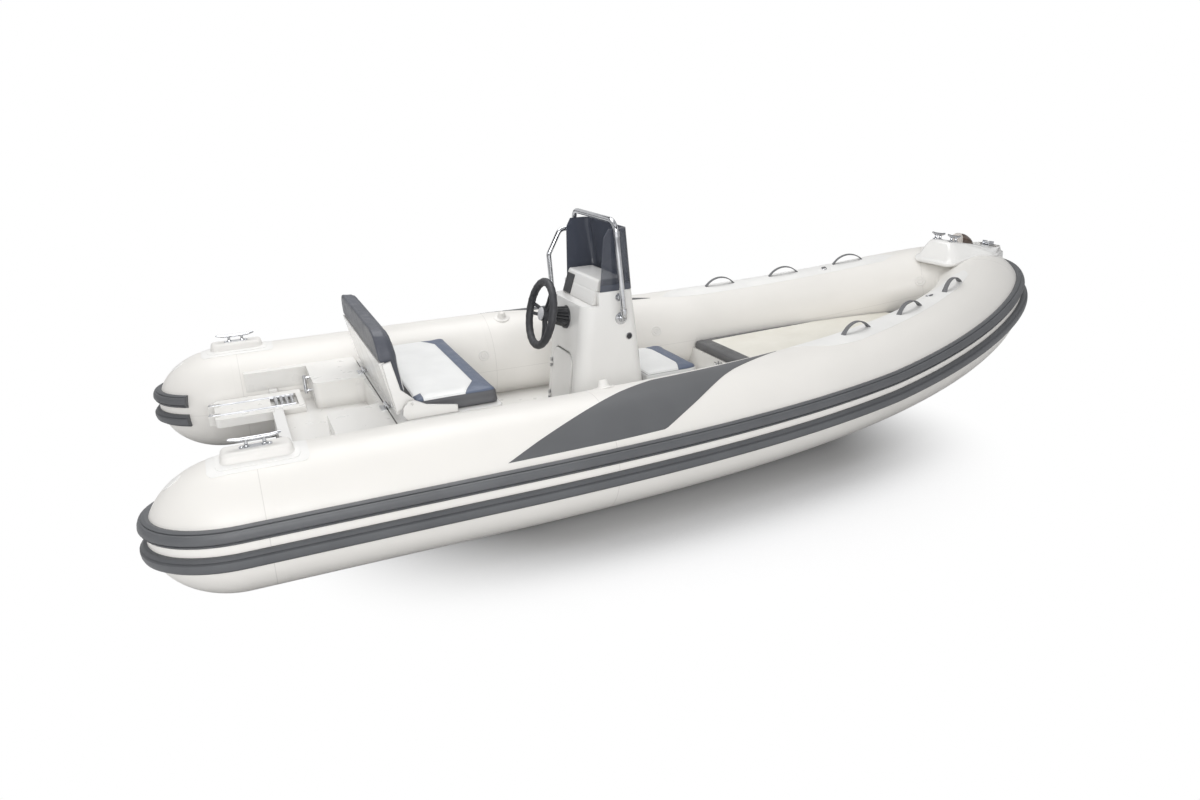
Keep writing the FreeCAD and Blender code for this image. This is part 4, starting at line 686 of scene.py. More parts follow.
def strake(name, node, top_angle):
    middle = math.radians(top_angle) - STRAKE_HEIGHT / 2 / STERN_R
    shrink, height = math.cos(middle), STERN_R * math.sin(middle)
    base = Vector((STERN_TIP + DOME, -SPREAD, LEVEL))
    rings = []
    for k in range(26):
        a = STRAKE_END * (1 - k / 26)
        offset = Vector((-DOME * shrink * math.sin(a), -STERN_R * shrink * math.cos(a), height))
        outward = Vector((offset.x / DOME ** 2, offset.y / STERN_R ** 2, offset.z / STERN_R ** 2)).normalized()
        along = Vector((math.cos(a) * DOME, -math.sin(a) * STERN_R, 0)).normalized()
        rings.append(strake_ring(base + offset, outward, -along.cross(outward).normalized()))
    for share in [-1] + [k / 103 for k in range(104)]:
        centre, _, outboard, up, radius = tube_frame(share)
        if share < 0:
            centre = base
        lean = middle + STRAKE_LEAN * max(0, (share - 0.4) / 0.6)
        outward = outboard * math.cos(lean) + up * math.sin(lean)
        rings.append(strake_ring(centre + outward * radius, outward, up * math.cos(lean) - outboard * math.sin(lean)))
    rings += [[Vector((p.x, -p.y, p.z)) for p in ring] for ring in reversed(rings[:-1])]

    def uv(face, vertex):
        return (vertex // len(OUTLINE) * 0.02, OUTLINE[vertex % len(OUTLINE)][0])

    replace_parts(rings_mesh(name, rings, RUBBER, "boat", 28, uv=uv), node)


strake("rubber_strake_upper", "strake_upper", STRAKE_TOP)
strake("rubber_strake_lower", "strake_lower", STRAKE_TOP - math.degrees((STRAKE_HEIGHT + STRAKE_GAP) / STERN_R))


# Upholstery

FOOT_EDGE, SIDE_REACH = 0.006, 0.03


def pad_grid(length, width, height, cell, corner, edge, crown, pull):
    """A closed pad in its own frame: fine box grid, rounded corners in plan and edges, crowned top.
    Its sides are drawn in between the corners. x runs 0..length, y either side of 0, z 0..height."""
    nx, ny, nz = max(4, round(length / cell)), max(4, round(width / cell)), max(3, round(height / cell))
    index, verts, faces = {}, [], []
    a, b = length / 2, width / 2

    def clamp(value, limit):
        return max(-limit, min(limit, value))

    def place(i, j, k):
        x, y, z = -a + length * i / nx, -b + width * j / ny, height * k / nz
        inset, depth = min(a - abs(x), b - abs(y)), height - z
        if inset < edge and depth < edge:
            v = Vector((edge - inset, edge - depth)).normalized() * edge
            x, y, z = clamp(x, a - edge + v.x), clamp(y, b - edge + v.x), height - edge + v.y
            inset = edge - v.x
        if inset < FOOT_EDGE and z < FOOT_EDGE:
            v = Vector((FOOT_EDGE - inset, FOOT_EDGE - z)).normalized() * FOOT_EDGE
            x, y, z = clamp(x, a - FOOT_EDGE + v.x), clamp(y, b - FOOT_EDGE + v.x), FOOT_EDGE - v.y
        turn = corner(x) if callable(corner) else corner
        dx, dy = abs(x) - (a - turn), abs(y) - (b - turn)
        if dx > 0 and dy > 0:
            scale = max(dx, dy) / math.hypot(dx, dy)
            x = math.copysign(a - turn + dx * scale, x)
            y = math.copysign(b - turn + dy * scale, y)
        span_x, span_y = 1 - min(1, abs(x) / a) ** 4, 1 - min(1, abs(y) / b) ** 4
        share = z / height
        z += crown * share ** 3 * math.sqrt(max(0, (1 - (x / a) ** 2) * (1 - (y / b) ** 2)))
        near_x, near_y = max(0, 1 - (a - abs(x)) / SIDE_REACH), max(0, 1 - (b - abs(y)) / SIDE_REACH)
        x -= math.copysign(pull * near_x * span_y * share, x)
        y -= math.copysign(pull * near_y * span_x * share, y)
        return (x + a, y, z)

    def face(*corners):
        for key in corners:
            if key not in index:
                index[key] = len(verts)
                verts.append(place(*key))
        faces.append(tuple(index[key] for key in corners))

    for i in range(nx):
        for j in range(ny):
            face((i, j, 0), (i, j + 1, 0), (i + 1, j + 1, 0), (i + 1, j, 0))
            face((i, j, nz), (i + 1, j, nz), (i + 1, j + 1, nz), (i, j + 1, nz))
    for k in range(nz):
        for i in range(nx):
            face((i, 0, k), (i + 1, 0, k), (i + 1, 0, k + 1), (i, 0, k + 1))
            face((i, ny, k), (i, ny, k + 1), (i + 1, ny, k + 1), (i + 1, ny, k))
        for j in range(ny):
            face((0, j, k), (0, j, k + 1), (0, j + 1, k + 1), (0, j + 1, k))
            face((nx, j, k), (nx, j + 1, k), (nx, j + 1, k + 1), (nx, j, k + 1))
    return verts, faces, [i for key, i in index.items() if key[2] == 0]


def edge_line(first, second):
    """The half plane to the inner side of a run between two (x, |y|) points, as (nx, ny, offset)."""
    dx, dy = second[0] - first[0], second[1] - first[1]
    length = math.hypot(dx, dy)
    nx, ny = dy / length, -dx / length
    if ny < 0:
        nx, ny = -nx, -ny
    return (nx, ny, nx * first[0] + ny * first[1])


def depth_inside(x, y, lines):
    """Distance inside a convex region; it is negative outside."""
    return min(offset - (nx * x + ny * y) for nx, ny, offset in lines)


def shader_depth(s, x, y, lines):
    """The same distance from shader nodes."""
    return s.fold("MINIMUM", [s.math("SUBTRACT", offset, s.math("ADD", s.math("MULTIPLY", x, nx),
                                                                s.math("MULTIPLY", y, ny)))
                              for nx, ny, offset in lines])


THREAD, JOIN_SHADE = (0.42, 0.43, 0.45), (0.05, 0.053, 0.06)
WHITE_VINYL = ((0.80, 0.805, 0.80), (0.86, 0.865, 0.86))
CREAM_VINYL = ((0.76, 0.735, 0.66), (0.83, 0.81, 0.74))
# The next colour is the slate vinyl lightened and blued by painted sky reflection, used on the top borders of the helm
# and console cushions.
SLATE_SKY_REFLECTION = ((0.088, 0.112, 0.170), (0.112, 0.140, 0.205))
SLATE_SIDE = ((0.082, 0.084, 0.092), (0.108, 0.110, 0.118))
BACK_SIDE = ((0.072, 0.078, 0.096), (0.094, 0.100, 0.122))
FRONT_SIDE = ((0.66, 0.665, 0.66), (0.74, 0.745, 0.74))
GREY_BORDER = ((0.088, 0.089, 0.092), (0.112, 0.113, 0.117))


def leather_grain(s):
    cells = s.add("TexVoronoi", {"Scale": 520.0, "Vector": s.where()}, "Distance", feature="DISTANCE_TO_EDGE")
    return s.bump(s.math("ADD", s.math("MULTIPLY", cells, 2.2), s.math("MULTIPLY", s.noise(900, 2), 0.35)), 0.35,
                  0.0005)


def upholstery(name, lines, notch, top, panel, border, side):
    """Vinyl with a panel inside lines, less its notch, a border above the top join and sides below."""
    s = Shader(name, side[1], 0.42, Specular_IOR_Level=0.5)
    x, y, z = s.xyz(s.add("Attribute", output="Vector", attribute_name="rest"))
    y = s.math("ABSOLUTE", y)
    cloud = s.noise(6, 4)
    panel, border, side = (s.ramp(cloud, (0.3, low), (0.7, high)) for low, high in (panel, border, side))
    level = s.math("SUBTRACT", z, top)
    distance = s.math("MINIMUM", shader_depth(s, x, y, lines), level)
    if notch:
        distance = s.math("MINIMUM", distance, s.math("MULTIPLY", shader_depth(s, x, y, notch), -1.0))
    # Border above the top join, sides below; on the helm and console cushions the border's colour is painted sky
    # reflection.
    color = s.blend(s.remap(level, -0.0008, 0.0008), side, border)
    color = s.blend(s.remap(distance, -0.0006, 0.0006), color, panel)
    joins = s.math("MAXIMUM", s.line(distance, 0.0, 0.0006, 0.0012), s.line(level, 0.0, 0.0005, 0.0010))
    color = s.blend(s.math("MULTIPLY", joins, 0.55), color, JOIN_SHADE)
    run = s.math("SINE", s.math("MULTIPLY", s.math("ADD", x, y), 1100.0))
    stitch = s.math("MULTIPLY", s.line(distance, 0.0055, 0.0004, 0.0006), s.math("GREATER_THAN", run, -0.25))
    s.set("Base Color", s.blend(s.math("MULTIPLY", stitch, 0.5), color, THREAD))
    s.set("Roughness", s.remap(s.noise(20, 3), 0.3, 0.7, 0.34, 0.47))
    s.set("Normal", s.bump(s.noise(16, 3), 0.10, 0.004, leather_grain(s)))
    return s.material


pads = []


def cushion(name, node, body, form, warp, lines, top, colors, cap, notch=(), across=None):
    """A pad grid set in place by a warp, with its panels. Lines, notch and top lie in the pad's own frame, and
    across(x, y) gives the true distance from the keel where the warp narrows the pad."""
    grid, faces, foot = pad_grid(*form)
    vinyl = upholstery(name.split("_")[0] + "_vinyl", lines, notch, top, *colors)
    item = finish(name, [warp(*v) for v in grid], faces, (vinyl, "cushion_vinyl"), body, 75)
    layer = item.data.attributes.new("rest", "FLOAT_VECTOR", "POINT")
    for entry, (x, y, z) in zip(layer.data, grid):
        entry.vector = (x, math.copysign(across(x, y), y) if across else y, z)
    item.vertex_groups.new(name="seat").add(foot, 1.0, "REPLACE")
    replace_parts(item, node)
    pads.append((item, lines, notch, top, cap))


CLOTH_FRAMES = 20


def swell():
    """Air pressure under the vinyl, by Blender's cloth, with each point's movement capped."""
    scene = bpy.context.scene
    for item, *_ in pads:
        cloth = item.modifiers.new("Cloth", "CLOTH")
        cloth.settings.quality = 4
        cloth.settings.mass = 0.3
        cloth.settings.tension_stiffness = 15
        cloth.settings.compression_stiffness = 15
        cloth.settings.bending_stiffness = 0.5
        cloth.settings.use_pressure = True
        cloth.settings.uniform_pressure_force = 4
        cloth.settings.vertex_group_mass = "seat"
        cloth.settings.effector_weights.gravity = 0
        cloth.collision_settings.use_collision = False
        cloth.point_cache.frame_start, cloth.point_cache.frame_end = 1, CLOTH_FRAMES
    for number in range(1, CLOTH_FRAMES + 1):
        scene.frame_set(number)
    graph = bpy.context.evaluated_depsgraph_get()
    moved = []
    for item, *_ in pads:
        evaluated = item.evaluated_get(graph)
        moved.append([v.co.copy() for v in evaluated.to_mesh().vertices])
        evaluated.to_mesh_clear()
    scene.frame_set(1)
    for (item, *_, cap), ends in zip(pads, moved):
        item.modifiers.clear()
        for vertex, end in zip(item.data.vertices, ends):
            shift = end - vertex.co
            vertex.co += shift * min(1, cap / max(shift.length, 1e-9))
        item.data.update()


GROOVE_DEPTH, GROOVE_WIDTH = 0.0026, 0.0042


def sew():
    """Finer skin, then the joins between panels drawn in as shallow grooves."""
    for item, lines, notch, top, _ in pads:
        fine = item.modifiers.new("Subdivision", "SUBSURF")
        fine.levels = fine.render_levels = 1
        apply_modifiers(item)
        normals = [v.normal.copy() for v in item.data.vertices]
        rest = item.data.attributes["rest"].data
        for vertex, normal, entry in zip(item.data.vertices, normals, rest):
            x, y, z = entry.vector
            distance = min(depth_inside(x, abs(y), lines), z - top)
            if notch:
                distance = min(distance, -depth_inside(x, abs(y), notch))
            gap = min(abs(distance), abs(z - top))
            vertex.co -= normal * GROOVE_DEPTH * math.exp(-(gap / GROOVE_WIDTH) ** 2)
        item.data.update()
        item.vertex_groups.clear()
        for polygon in item.data.polygons:
            polygon.use_smooth = True


# Helm seat cushion
seat_low, seat_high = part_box("seat_cushion")
seat_length, seat_height = seat_high[0] - seat_low[0], seat_high[2] - seat_low[2]
to_front = seat_length - 0.077
cushion("helm_cushion", "seat_cushion", "lid",
        (seat_length, seat_high[1] - seat_low[1], seat_height - 0.004, 0.0105, 0.028, 0.014, 0.006, 0.004),
        lambda x, y, z: Vector((seat_low[0] + x, y, seat_low[2] + z)),
        [(1, 0, to_front), edge_line((to_front, 0.335), (to_front - 0.064, 0.462)), (0, 1, 0.60)],
        seat_height - 0.010, (WHITE_VINYL, SLATE_SKY_REFLECTION, SLATE_SIDE), 0.005, notch=[(1, 0, 0.042), (0, -1, -0.386)])

# Backrest pad: x of its own frame runs up, z runs forward through its thickness
back_low, back_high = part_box("backrest_pad")
BACK_FRONT = (0.511, 0.685, 0.79), (st(985), st(965), st(948))
BACK_REAR = (0.511, 0.652, 0.675, 0.776), (st(954.5), st(919), st(893), st(885.5))


def back_place(x, y, z):
    level = back_low[2] + x
    front, rear = (float(np.interp(level, *profile)) for profile in (BACK_FRONT, BACK_REAR))
    narrow = 1 if level > 0.68 else 0.974 + 0.026 * max(0, (level - 0.66) / 0.02)
    return Vector((rear + (front - rear) * z / 0.07, y * narrow, level))


cushion("back_cushion", "backrest_pad", "backrest",
        (back_high[2] - back_low[2], back_high[1] - back_low[1], 0.067, 0.0105,
         lambda x: 0.115 if x > 0 else 0.016, 0.018, 0.006, 0.003), back_place,
        [(1, 0, 0.178), edge_line((0.178, 0.385), (0.125, 0.449)), (0, 1, 0.449), (-1, 0, -0.012)],
        0.058, (WHITE_VINYL, BACK_SIDE, BACK_SIDE), 0.004)

# Cushion in front of the console
front_low, front_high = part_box("console_seat_cushion")
front_rear = st(2184)
front_length, front_height = front_high[0] - front_rear, front_high[2] - front_low[2]
front_join = front_length - 0.088
cushion("console_cushion", "console_seat_cushion", "boat",
        (front_length, front_high[1] - front_low[1], front_height - 0.004, 0.010,
         lambda x: 0.045 if x > 0 else 0.004, 0.014, 0.006, 0.002),
        lambda x, y, z: Vector((front_rear + x, y, front_low[2] + z)),
        [(1, 0, front_join), edge_line((front_join, 0.135), (front_join - 0.028, 0.225)), (0, 1, 0.5)],
        front_height - 0.010, (WHITE_VINYL, SLATE_SKY_REFLECTION, FRONT_SIDE), 0.005)

# Bow cushion, cut to lie between the tubes on the sloping deck
bow_low, bow_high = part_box("bow_cushion")
BOW_LENGTH, BOW_HALF, BOW_LIMIT = bow_high[0] - bow_low[0] - 0.012, 0.45, 0.449
RING_CENTRES = np.array([tuple(r[0]) for r, d in ALL_RINGS])
RING_RADII = np.array([r[4] for r, d in ALL_RINGS])


def inner_half(x, z, gap):
    """Half the width between the tubes at a point of the centreline."""
    def clear(y):
        away = np.sqrt(((RING_CENTRES - np.array((x, -y, z))) ** 2).sum(axis=1)) - RING_RADII
        return away.min() > gap
    return bisect(0.0, 0.9, clear, 26)[0]


def bow_level(x):
    """Height of the cushion's underside at a distance forward of its aft edge."""
    return 0.2263 + (0.315 - 0.2263) * x / 1.325


bow_stops = [k * BOW_LENGTH / 60 for k in range(61)]
bow_halves = [inner_half(bow_low[0] + x, bow_level(x) + 0.022, 0.006) for x in bow_stops]


def bow_across(x, y):
    """Distance from the keel for a point of the pad's own frame."""
    return abs(y) / BOW_HALF * min(float(np.interp(x, bow_stops, bow_halves)), BOW_LIMIT)


cushion("bow_sun_cushion", "bow_cushion", "boat", (BOW_LENGTH, 2 * BOW_HALF, 0.042, 0.0135, 0.02, 0.011, 0.005, 0.002),
        lambda x, y, z: Vector((bow_low[0] + 0.001 + x, math.copysign(bow_across(x, y), y), bow_level(x) + z)),
        [(-1, 0, -0.072), edge_line((0.075, 0.362), (1.015, 0.262)), (1, 0, 1.14),
         edge_line((1.015, 0.285), (1.14, 0.20))],
        0.036, (CREAM_VINYL, GREY_BORDER, GREY_BORDER), 0.004, across=bow_across)

swell()
sew()


# Horn cleats, on pads at the stern and on the nose at the bow

HORN_RISE = 30


def horn(length, place):
    """A horn cleat: a bar with turned-up tips on two flared legs and a base plate."""
    half = length / 2
    bar = [(share * half, 0, (HORN_RISE + up) / 1000)
           for share, up in ((-1, 6), (-0.93, 5), (-0.6, 0), (0, -1), (0.6, 0), (0.93, 5), (1, 6))]
    sizes = [0.0035, 0.0056, 0.0074, 0.0080, 0.0074, 0.0056, 0.0035]
    items = [sweep("bar", [place @ Vector(p) for p in bar], sizes, STEEL)]
    for side in (-1, 1):
        foot = place @ Matrix.Translation((side * length * 0.17, 0, 0))
        items.append(lathe("leg", [(12.5, 0), (12.5, 3), (8.5, 6), (6.4, 13), (6.6, HORN_RISE - 6),
                                   (7.8, HORN_RISE)], foot, STEEL, 24))
        items.append(lathe("screw", [(4, 2), (4, 4.8), (2.5, 5.4)],
                           foot @ Matrix.Translation((side * 0.016, 0, 0)), STEEL, 16))
    items.append(prism("plate", rounded(rectangle(length * 0.31, 0.015), 0.012), 0.0, 0.003, place, STEEL))
    return items


CLEAT_STATION, CLEAT_ACROSS, PAD_TOP = 394, 0.788, 0.535
PAD_HALF_LENGTH, PAD_HALF_WIDTH, PAD_TURN = 0.120, 0.052, 0.026
stern_place = Matrix.Translation((st(CLEAT_STATION), -CLEAT_ACROSS, PAD_TOP))
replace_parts(both_sides("stern_horn_cleats", lambda: horn(0.178, stern_place)), "stern_cleats")


def pad_ring(grow, above=None, below=None):
    """A rounded outline of the cleat pad, at a height above the tube or a depth below the pad's top."""
    ring = []
    outline = rounded(rectangle(PAD_HALF_LENGTH + grow, PAD_HALF_WIDTH + grow), PAD_TURN + grow * 0.9, 8)
    for x, y in outline:
        shrink = 1 - (max(0, DOME - CLEAT_STATION / 1000 - x) / DOME) ** 2
        tube_top = LEVEL + math.sqrt(STERN_R ** 2 * shrink - (y - CLEAT_ACROSS + SPREAD) ** 2)
        ring.append(Vector((st(CLEAT_STATION) + x, y - CLEAT_ACROSS,
                            PAD_TOP - below if above is None else tube_top + above)))
    return ring


def cleat_moulding():
    foot = ((0.012, -0.004), (0.012, 0.0012), (0.010, 0.0026), (0.004, 0.0034), (0.0015, 0.0050))
    top = ((0.0, 0.0195), (-0.0015, 0.0120), (-0.0045, 0.0060), (-0.0090, 0.0020), (-0.0150, 0.0003), (-0.0220, 0.0))
    rings = [pad_ring(grow, above=height) for grow, height in foot]
    rings += [pad_ring(grow, below=depth) for grow, depth in top]
    return [rings_mesh("pad", rings, WHITE_RUBBER)]


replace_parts(both_sides("cleat_mouldings", cleat_moulding), "stern_cleat_pads")

# The nose's sloping top carries the bow cleats
NOSE_AFT, NOSE_AFT_TOP, NOSE_TIP, NOSE_TIP_TOP = st(4165), 0.768, st(4572), 0.690
NOSE_SLOPE = (NOSE_TIP_TOP - NOSE_AFT_TOP) / (NOSE_TIP - NOSE_AFT)


def nose_level(x):
    """Height of the nose's sloping top."""
    return NOSE_AFT_TOP + NOSE_SLOPE * (x - NOSE_AFT)


slope = Vector((1, 0, NOSE_SLOPE)).normalized()
bow_place = axes((st(4200), -0.060, nose_level(st(4200)) - 0.001), slope, Y, slope.cross(Y))
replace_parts(both_sides("bow_horn_cleats", lambda: horn(0.096, bow_place)), "bow_cleats")


def rounded_band(first, last, low, high, turn):
    """Lower and upper angle of a patch whose corners are turned on a radius in millimetres."""
    def inset(station):
        gap = min(turn, station - first, last - station)
        return math.degrees((turn - math.sqrt(max(0, turn ** 2 - (turn - gap) ** 2))) / 1000 / STERN_R)
    return (lambda station: low + inset(station)), (lambda station: high - inset(station))


for number, (reach, spread, lift) in enumerate(((168, 22.5, 0.0014), (140, 17.5, 0.0034))):
    first, last = CLEAT_STATION - reach, CLEAT_STATION + reach
    lower, upper = rounded_band(first, last, 88 - spread, 88 + spread, 26)
    tube_patch("cleat_flange_%d" % number, first, last, lower, upper, lift, WEAR, 48, 10)

# The reinforcing patch under the grab straps
wear_lower = through((2722, 107), (2790, 90), (2868, 78), (2950, 73.5), (3038, 72), (3182, 73.7), (3500, 78),
                     (3920, 85.3), (4080, 92), (4140, 104))
wear_upper = through((2722, 107), (2800, 112), (2950, 115), (4080, 115), (4140, 104))
tube_patch("wear_patch", 2722, 4140, wear_lower, wear_upper, 0.0010, WEAR, 110, 8)


# Fittings on the tubes

def stand(station, angle, lift=0.0):
    """A matrix on the starboard tube with X along the tube and Z out of it."""
    point, along, outward = tube_place(station, angle, lift)
    x = (along - outward * along.dot(outward)).normalized()
    return axes(point, x, outward.cross(x), outward)


RING_STATION, RING_ANGLE = 3745, 104


def disc(name, station, angle, size, lift=0.0022):
    """A round patch bonded on both tubes."""
    def build():
        rings = []
        for share, height in ((1.0, -0.001), (1.0, lift * 0.6), (0.95, lift), (0.6, lift), (0.2, lift), (0.02, lift)):
            rings.append([tube_place(station + share * size * 1000 * math.cos(a),
                                     angle + math.degrees(share * size * math.sin(a) / STERN_R), height)[0]
                          for a in circle(40)])
        return [rings_mesh("disc", rings, WEAR, angle=40)]
    both_sides(name, build)


disc("ring_patch", RING_STATION, RING_ANGLE, 0.038)
disc("aft_patch", 112, 92, 0.030)


def ring_loop():
    place = stand(RING_STATION, RING_ANGLE, 0.004)
    turns = [math.radians(k) for k in range(-60, 241, 20)]
    loop = [place @ Vector((0.013 * math.cos(a), 0.015 * math.sin(a), 0.0)) for a in turns]
    tab = rounded([(-0.012, -0.020), (0.012, -0.020), (0.012, -0.006), (-0.012, -0.006)], 0.004)
    return [sweep("loop", loop, 0.0020, STEEL, sides=12), prism("tab", tab, -0.002, 0.003, place, STRAP, 0.001)]


both_sides("ring_loops", ring_loop)

VALVE_STATIONS, VALVE_ANGLE = (1600, 2620, 4255), 162
VALVE = [(30, -6), (30, 1.2), (28.5, 3.2), (24.5, 4), (21.5, 3.4), (20.5, 1.6), (17, 1.6), (16, 3.6), (12, 4.4),
         (11.5, 3), (5, 2.8), (0, 3)]
ROWLOCK = [(44, -3), (44, 1.8), (42.5, 3), (29, 3.6), (24.5, 6), (22.5, 13), (18.5, 26), (16.5, 31.5), (15, 33.5),
           (12, 33.5), (10.5, 30), (0, 29.5)]
valves = both_sides("air_valves", lambda: [
    lathe("valve", VALVE, stand(station, VALVE_ANGLE), WHITE_RUBBER, 44) for station in VALVE_STATIONS])
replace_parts(valves, "tube_valves")
rowlocks = both_sides("rowlock_cones", lambda: [
    lathe("rowlock", ROWLOCK, stand(1755, 108), WHITE_RUBBER, 44)])
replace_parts(rowlocks, "rowlocks")

STRAP_STATIONS, STRAP_ANGLE, STRAP_REACH, STRAP_RISE = (3105, 3505, 3895), 93, 0.088, 0.047


def grab_strap(station):
    """A moulded grab strap: a flat arch that thickens towards its glued ends."""
    place = stand(station, STRAP_ANGLE)
    radius = (STRAP_REACH ** 2 + STRAP_RISE ** 2) / (2 * STRAP_RISE)
    rings = []
    for k in range(-16, 17):
        a = math.asin(STRAP_REACH / radius) * k / 16
        middle = Vector((radius * math.sin(a), 0, radius * math.cos(a) - radius + STRAP_RISE - 0.003))
        outward = Vector((math.sin(a), 0, math.cos(a)))
        flare = max(0, abs(k / 16) - 0.72) / 0.28
        half, thick = 0.0118 + 0.003 * flare, 0.0030 + 0.0015 * flare
        rings.append([place @ (middle + Y * signed_power(math.cos(b), 0.5) * half
                               + outward * signed_power(math.sin(b), 0.7) * thick) for b in circle(20)])
    return rings_mesh("strap", rings, STRAP)


straps = both_sides("grab_straps", lambda: [grab_strap(station) for station in STRAP_STATIONS])
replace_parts(straps, "strap_handles")


# Bow nose: a moulding over the tube with a stepped skirt

# Corners as (station, distance across), and the skirt's heights along the stations
SKIRT_PLAN = (4108, 152), (4262, 176), (4348, 236), (4558, 88)
TOP_PLAN = (4168, 82), (4262, 96), (4348, 100), (4545, 54)
SKIRT_LEVELS = [st(s) for s in (4105, 4200, 4275, 4348, 4430, 4560)], (0.652, 0.674, 0.694, 0.692, 0.686, 0.664)
NOSE_MIDDLE = Vector((st(4340), 0))


def nose_ring(grow, share, lift):
    """A rounded outline between the skirt's plan and the top's, share 0 to 1, grown outward."""
    plan = [(st(x0 + (x1 - x0) * share), (y0 + (y1 - y0) * share) / 1000)
            for (x0, y0), (x1, y1) in zip(SKIRT_PLAN, TOP_PLAN)]
    grown = []
    for x, y in plan + [(x, -y) for x, y in reversed(plan)]:
        away = Vector((x, y)) - NOSE_MIDDLE
        grown.append(tuple(NOSE_MIDDLE + away * (1 + grow / away.length)))
    turn = 0.060 - 0.022 * share
    ring = []
    for x, y in rounded(grown, [turn * k for k in (1, 1.6, 1.2, 0.6, 0.6, 1.2, 1.6, 1)], 6):
        base = float(np.interp(x, *SKIRT_LEVELS)) + lift * (1 + max(0, (x - st(4440)) / 0.04))
        ring.append(Vector((x, y, base + (nose_level(x) - base) * share)))
    return ring


nose_rings = [nose_ring(*ring) for ring in (
    (0.002, 0, -0.016), (0.004, 0, -0.012), (0.004, 0, 0.0), (0.002, 0, 0.003), (-0.011, 0, 0.005),
    (-0.014, 0, 0.008), (-0.016, 0.05, 0.012), (-0.012, 0.25, 0.012), (-0.004, 0.50, 0.010), (0.002, 0.75, 0.006),
    (0.002, 0.90, 0.004), (-0.004, 0.97, 0.003), (-0.012, 1.0, 0))]
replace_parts(rings_mesh("nose_moulding", nose_rings, GEL, "boat", 40), "bow_nose")

# Navigation light: a domed body that slopes down to the front; each ring is (station, half width, rise)
LIGHT_RINGS = ((4263, 0.012, 0.016), (4265, 0.020, 0.032), (4272, 0.026, 0.045), (4288, 0.029, 0.053),
               (4303, 0.029, 0.055), (4304, 0.0275, 0.0535), (4306, 0.0275, 0.0535), (4330, 0.0275, 0.053),
               (4352, 0.0265, 0.047), (4376, 0.024, 0.034), (4392, 0.019, 0.020), (4399, 0.012, 0.008))
light_rings = [[Vector((st(station), -half * signed_power(math.cos(a), 0.7),
                        nose_level(st(station)) - 0.003 + rise * math.sin(a) ** 0.7))
                for a in [math.pi * k / 28 for k in range(29)]] for station, half, rise in LIGHT_RINGS]
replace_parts(rings_mesh("bow_light", light_rings, LIGHT, "boat", 30), "navigation_light")


# Helm: gripped wheel, ribbed hub and cap

WHEEL_TILT, WHEEL_CENTRE = math.radians(14), (st(1740), 0, 0.66)
RIM_RADIUS, RIM_SIZE, GRIP_WAVES, GRIP_DEPTH = 0.1500, 0.0192, 24, 0.05
to_driver = Vector((-math.cos(WHEEL_TILT), 0, math.sin(WHEEL_TILT)))
wheel_up = Vector((math.sin(WHEEL_TILT), 0, math.cos(WHEEL_TILT)))
wheel_place = axes(WHEEL_CENTRE, wheel_up, to_driver.cross(wheel_up), to_driver)


def wheel_point(radius, turn, height):
    return wheel_place @ Vector((radius * math.cos(turn), radius * math.sin(turn), height))


rim_rings = []
for turn in circle(144):
    size = RIM_SIZE * (1 + GRIP_DEPTH * (0.5 + 0.5 * math.cos(GRIP_WAVES * turn)) ** 3)
    rim_rings.append([wheel_point(RIM_RADIUS + size * math.cos(b), turn, size * 0.92 * math.sin(b))
                      for b in circle(18)])
wheel_items = [rings_mesh("rim", rim_rings + rim_rings[:1], GRIP, angle=60, caps=False)]
for spoke in (90, 210, 330):
    for side in (-1, 1):
        path = [wheel_point(radius, math.radians(spoke + side * away), height) for radius, away, height in
                ((0.027, 24, -0.018), (0.060, 14, -0.018), (0.110, 10.5, -0.014), (0.148, 9.5, -0.004))]
        wheel_items.append(sweep("spoke", path, [0.0100, 0.0090, 0.0085, 0.0095], GRIP, sides=14, flat=0.75))
wheel_items.append(lathe("boss", [(25, -43), (33, -40), (34, -24), (33.5, -6), (32, -1)], wheel_place, GRIP, 48))
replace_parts(joined("wheel", wheel_items, "helm"), "steering_wheel")
cap = lathe("cap_disc", [(31.8, -1), (32, 3), (30, 5.2), (28.5, 5), (27.5, 4), (26, 5.2), (18, 7.2),
                         (0, 7.9)], wheel_place, SILVER, 48, "helm")
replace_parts(cap, "wheel_cap")
hub_items = [
    lathe("hub", [(52.5, -142), (52, -129), (50, -122), (47, -105), (42, -72), (39, -52), (37, -46.5),
                  (30, -45.5)], wheel_place, GLOSS, 216, None, 18, 0.10),
    lathe("shaft", [(9, -50), (9, -16)], wheel_place, STEEL, 24),
    lathe("hub_base", [(56, -143), (56, -126), (54.5, -123), (50, -123)], wheel_place, BLACK, 60)]
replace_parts(joined("hub_ribs", hub_items), "helm_hub")


# Console rail with its flanges and sleeves

CONSOLE_FOOT, CONSOLE_HEIGHT, CONSOLE_HALF, CONSOLE_DRAFT, CONSOLE_LEAN = 0.1, 0.672, 0.216, 0.006, 0.084
RAIL_FOOT, RAIL_TOP, RAIL_ACROSS, RAIL_AFT, RAIL_TOP_AFT, BRANCH_AFT = 0.64, 1.096, 0.250, 2060, 2028, 1897


def console_half(z):
    """Half the console's width, which narrows upward."""
    return CONSOLE_HALF - CONSOLE_DRAFT * (z - CONSOLE_FOOT) / CONSOLE_HEIGHT


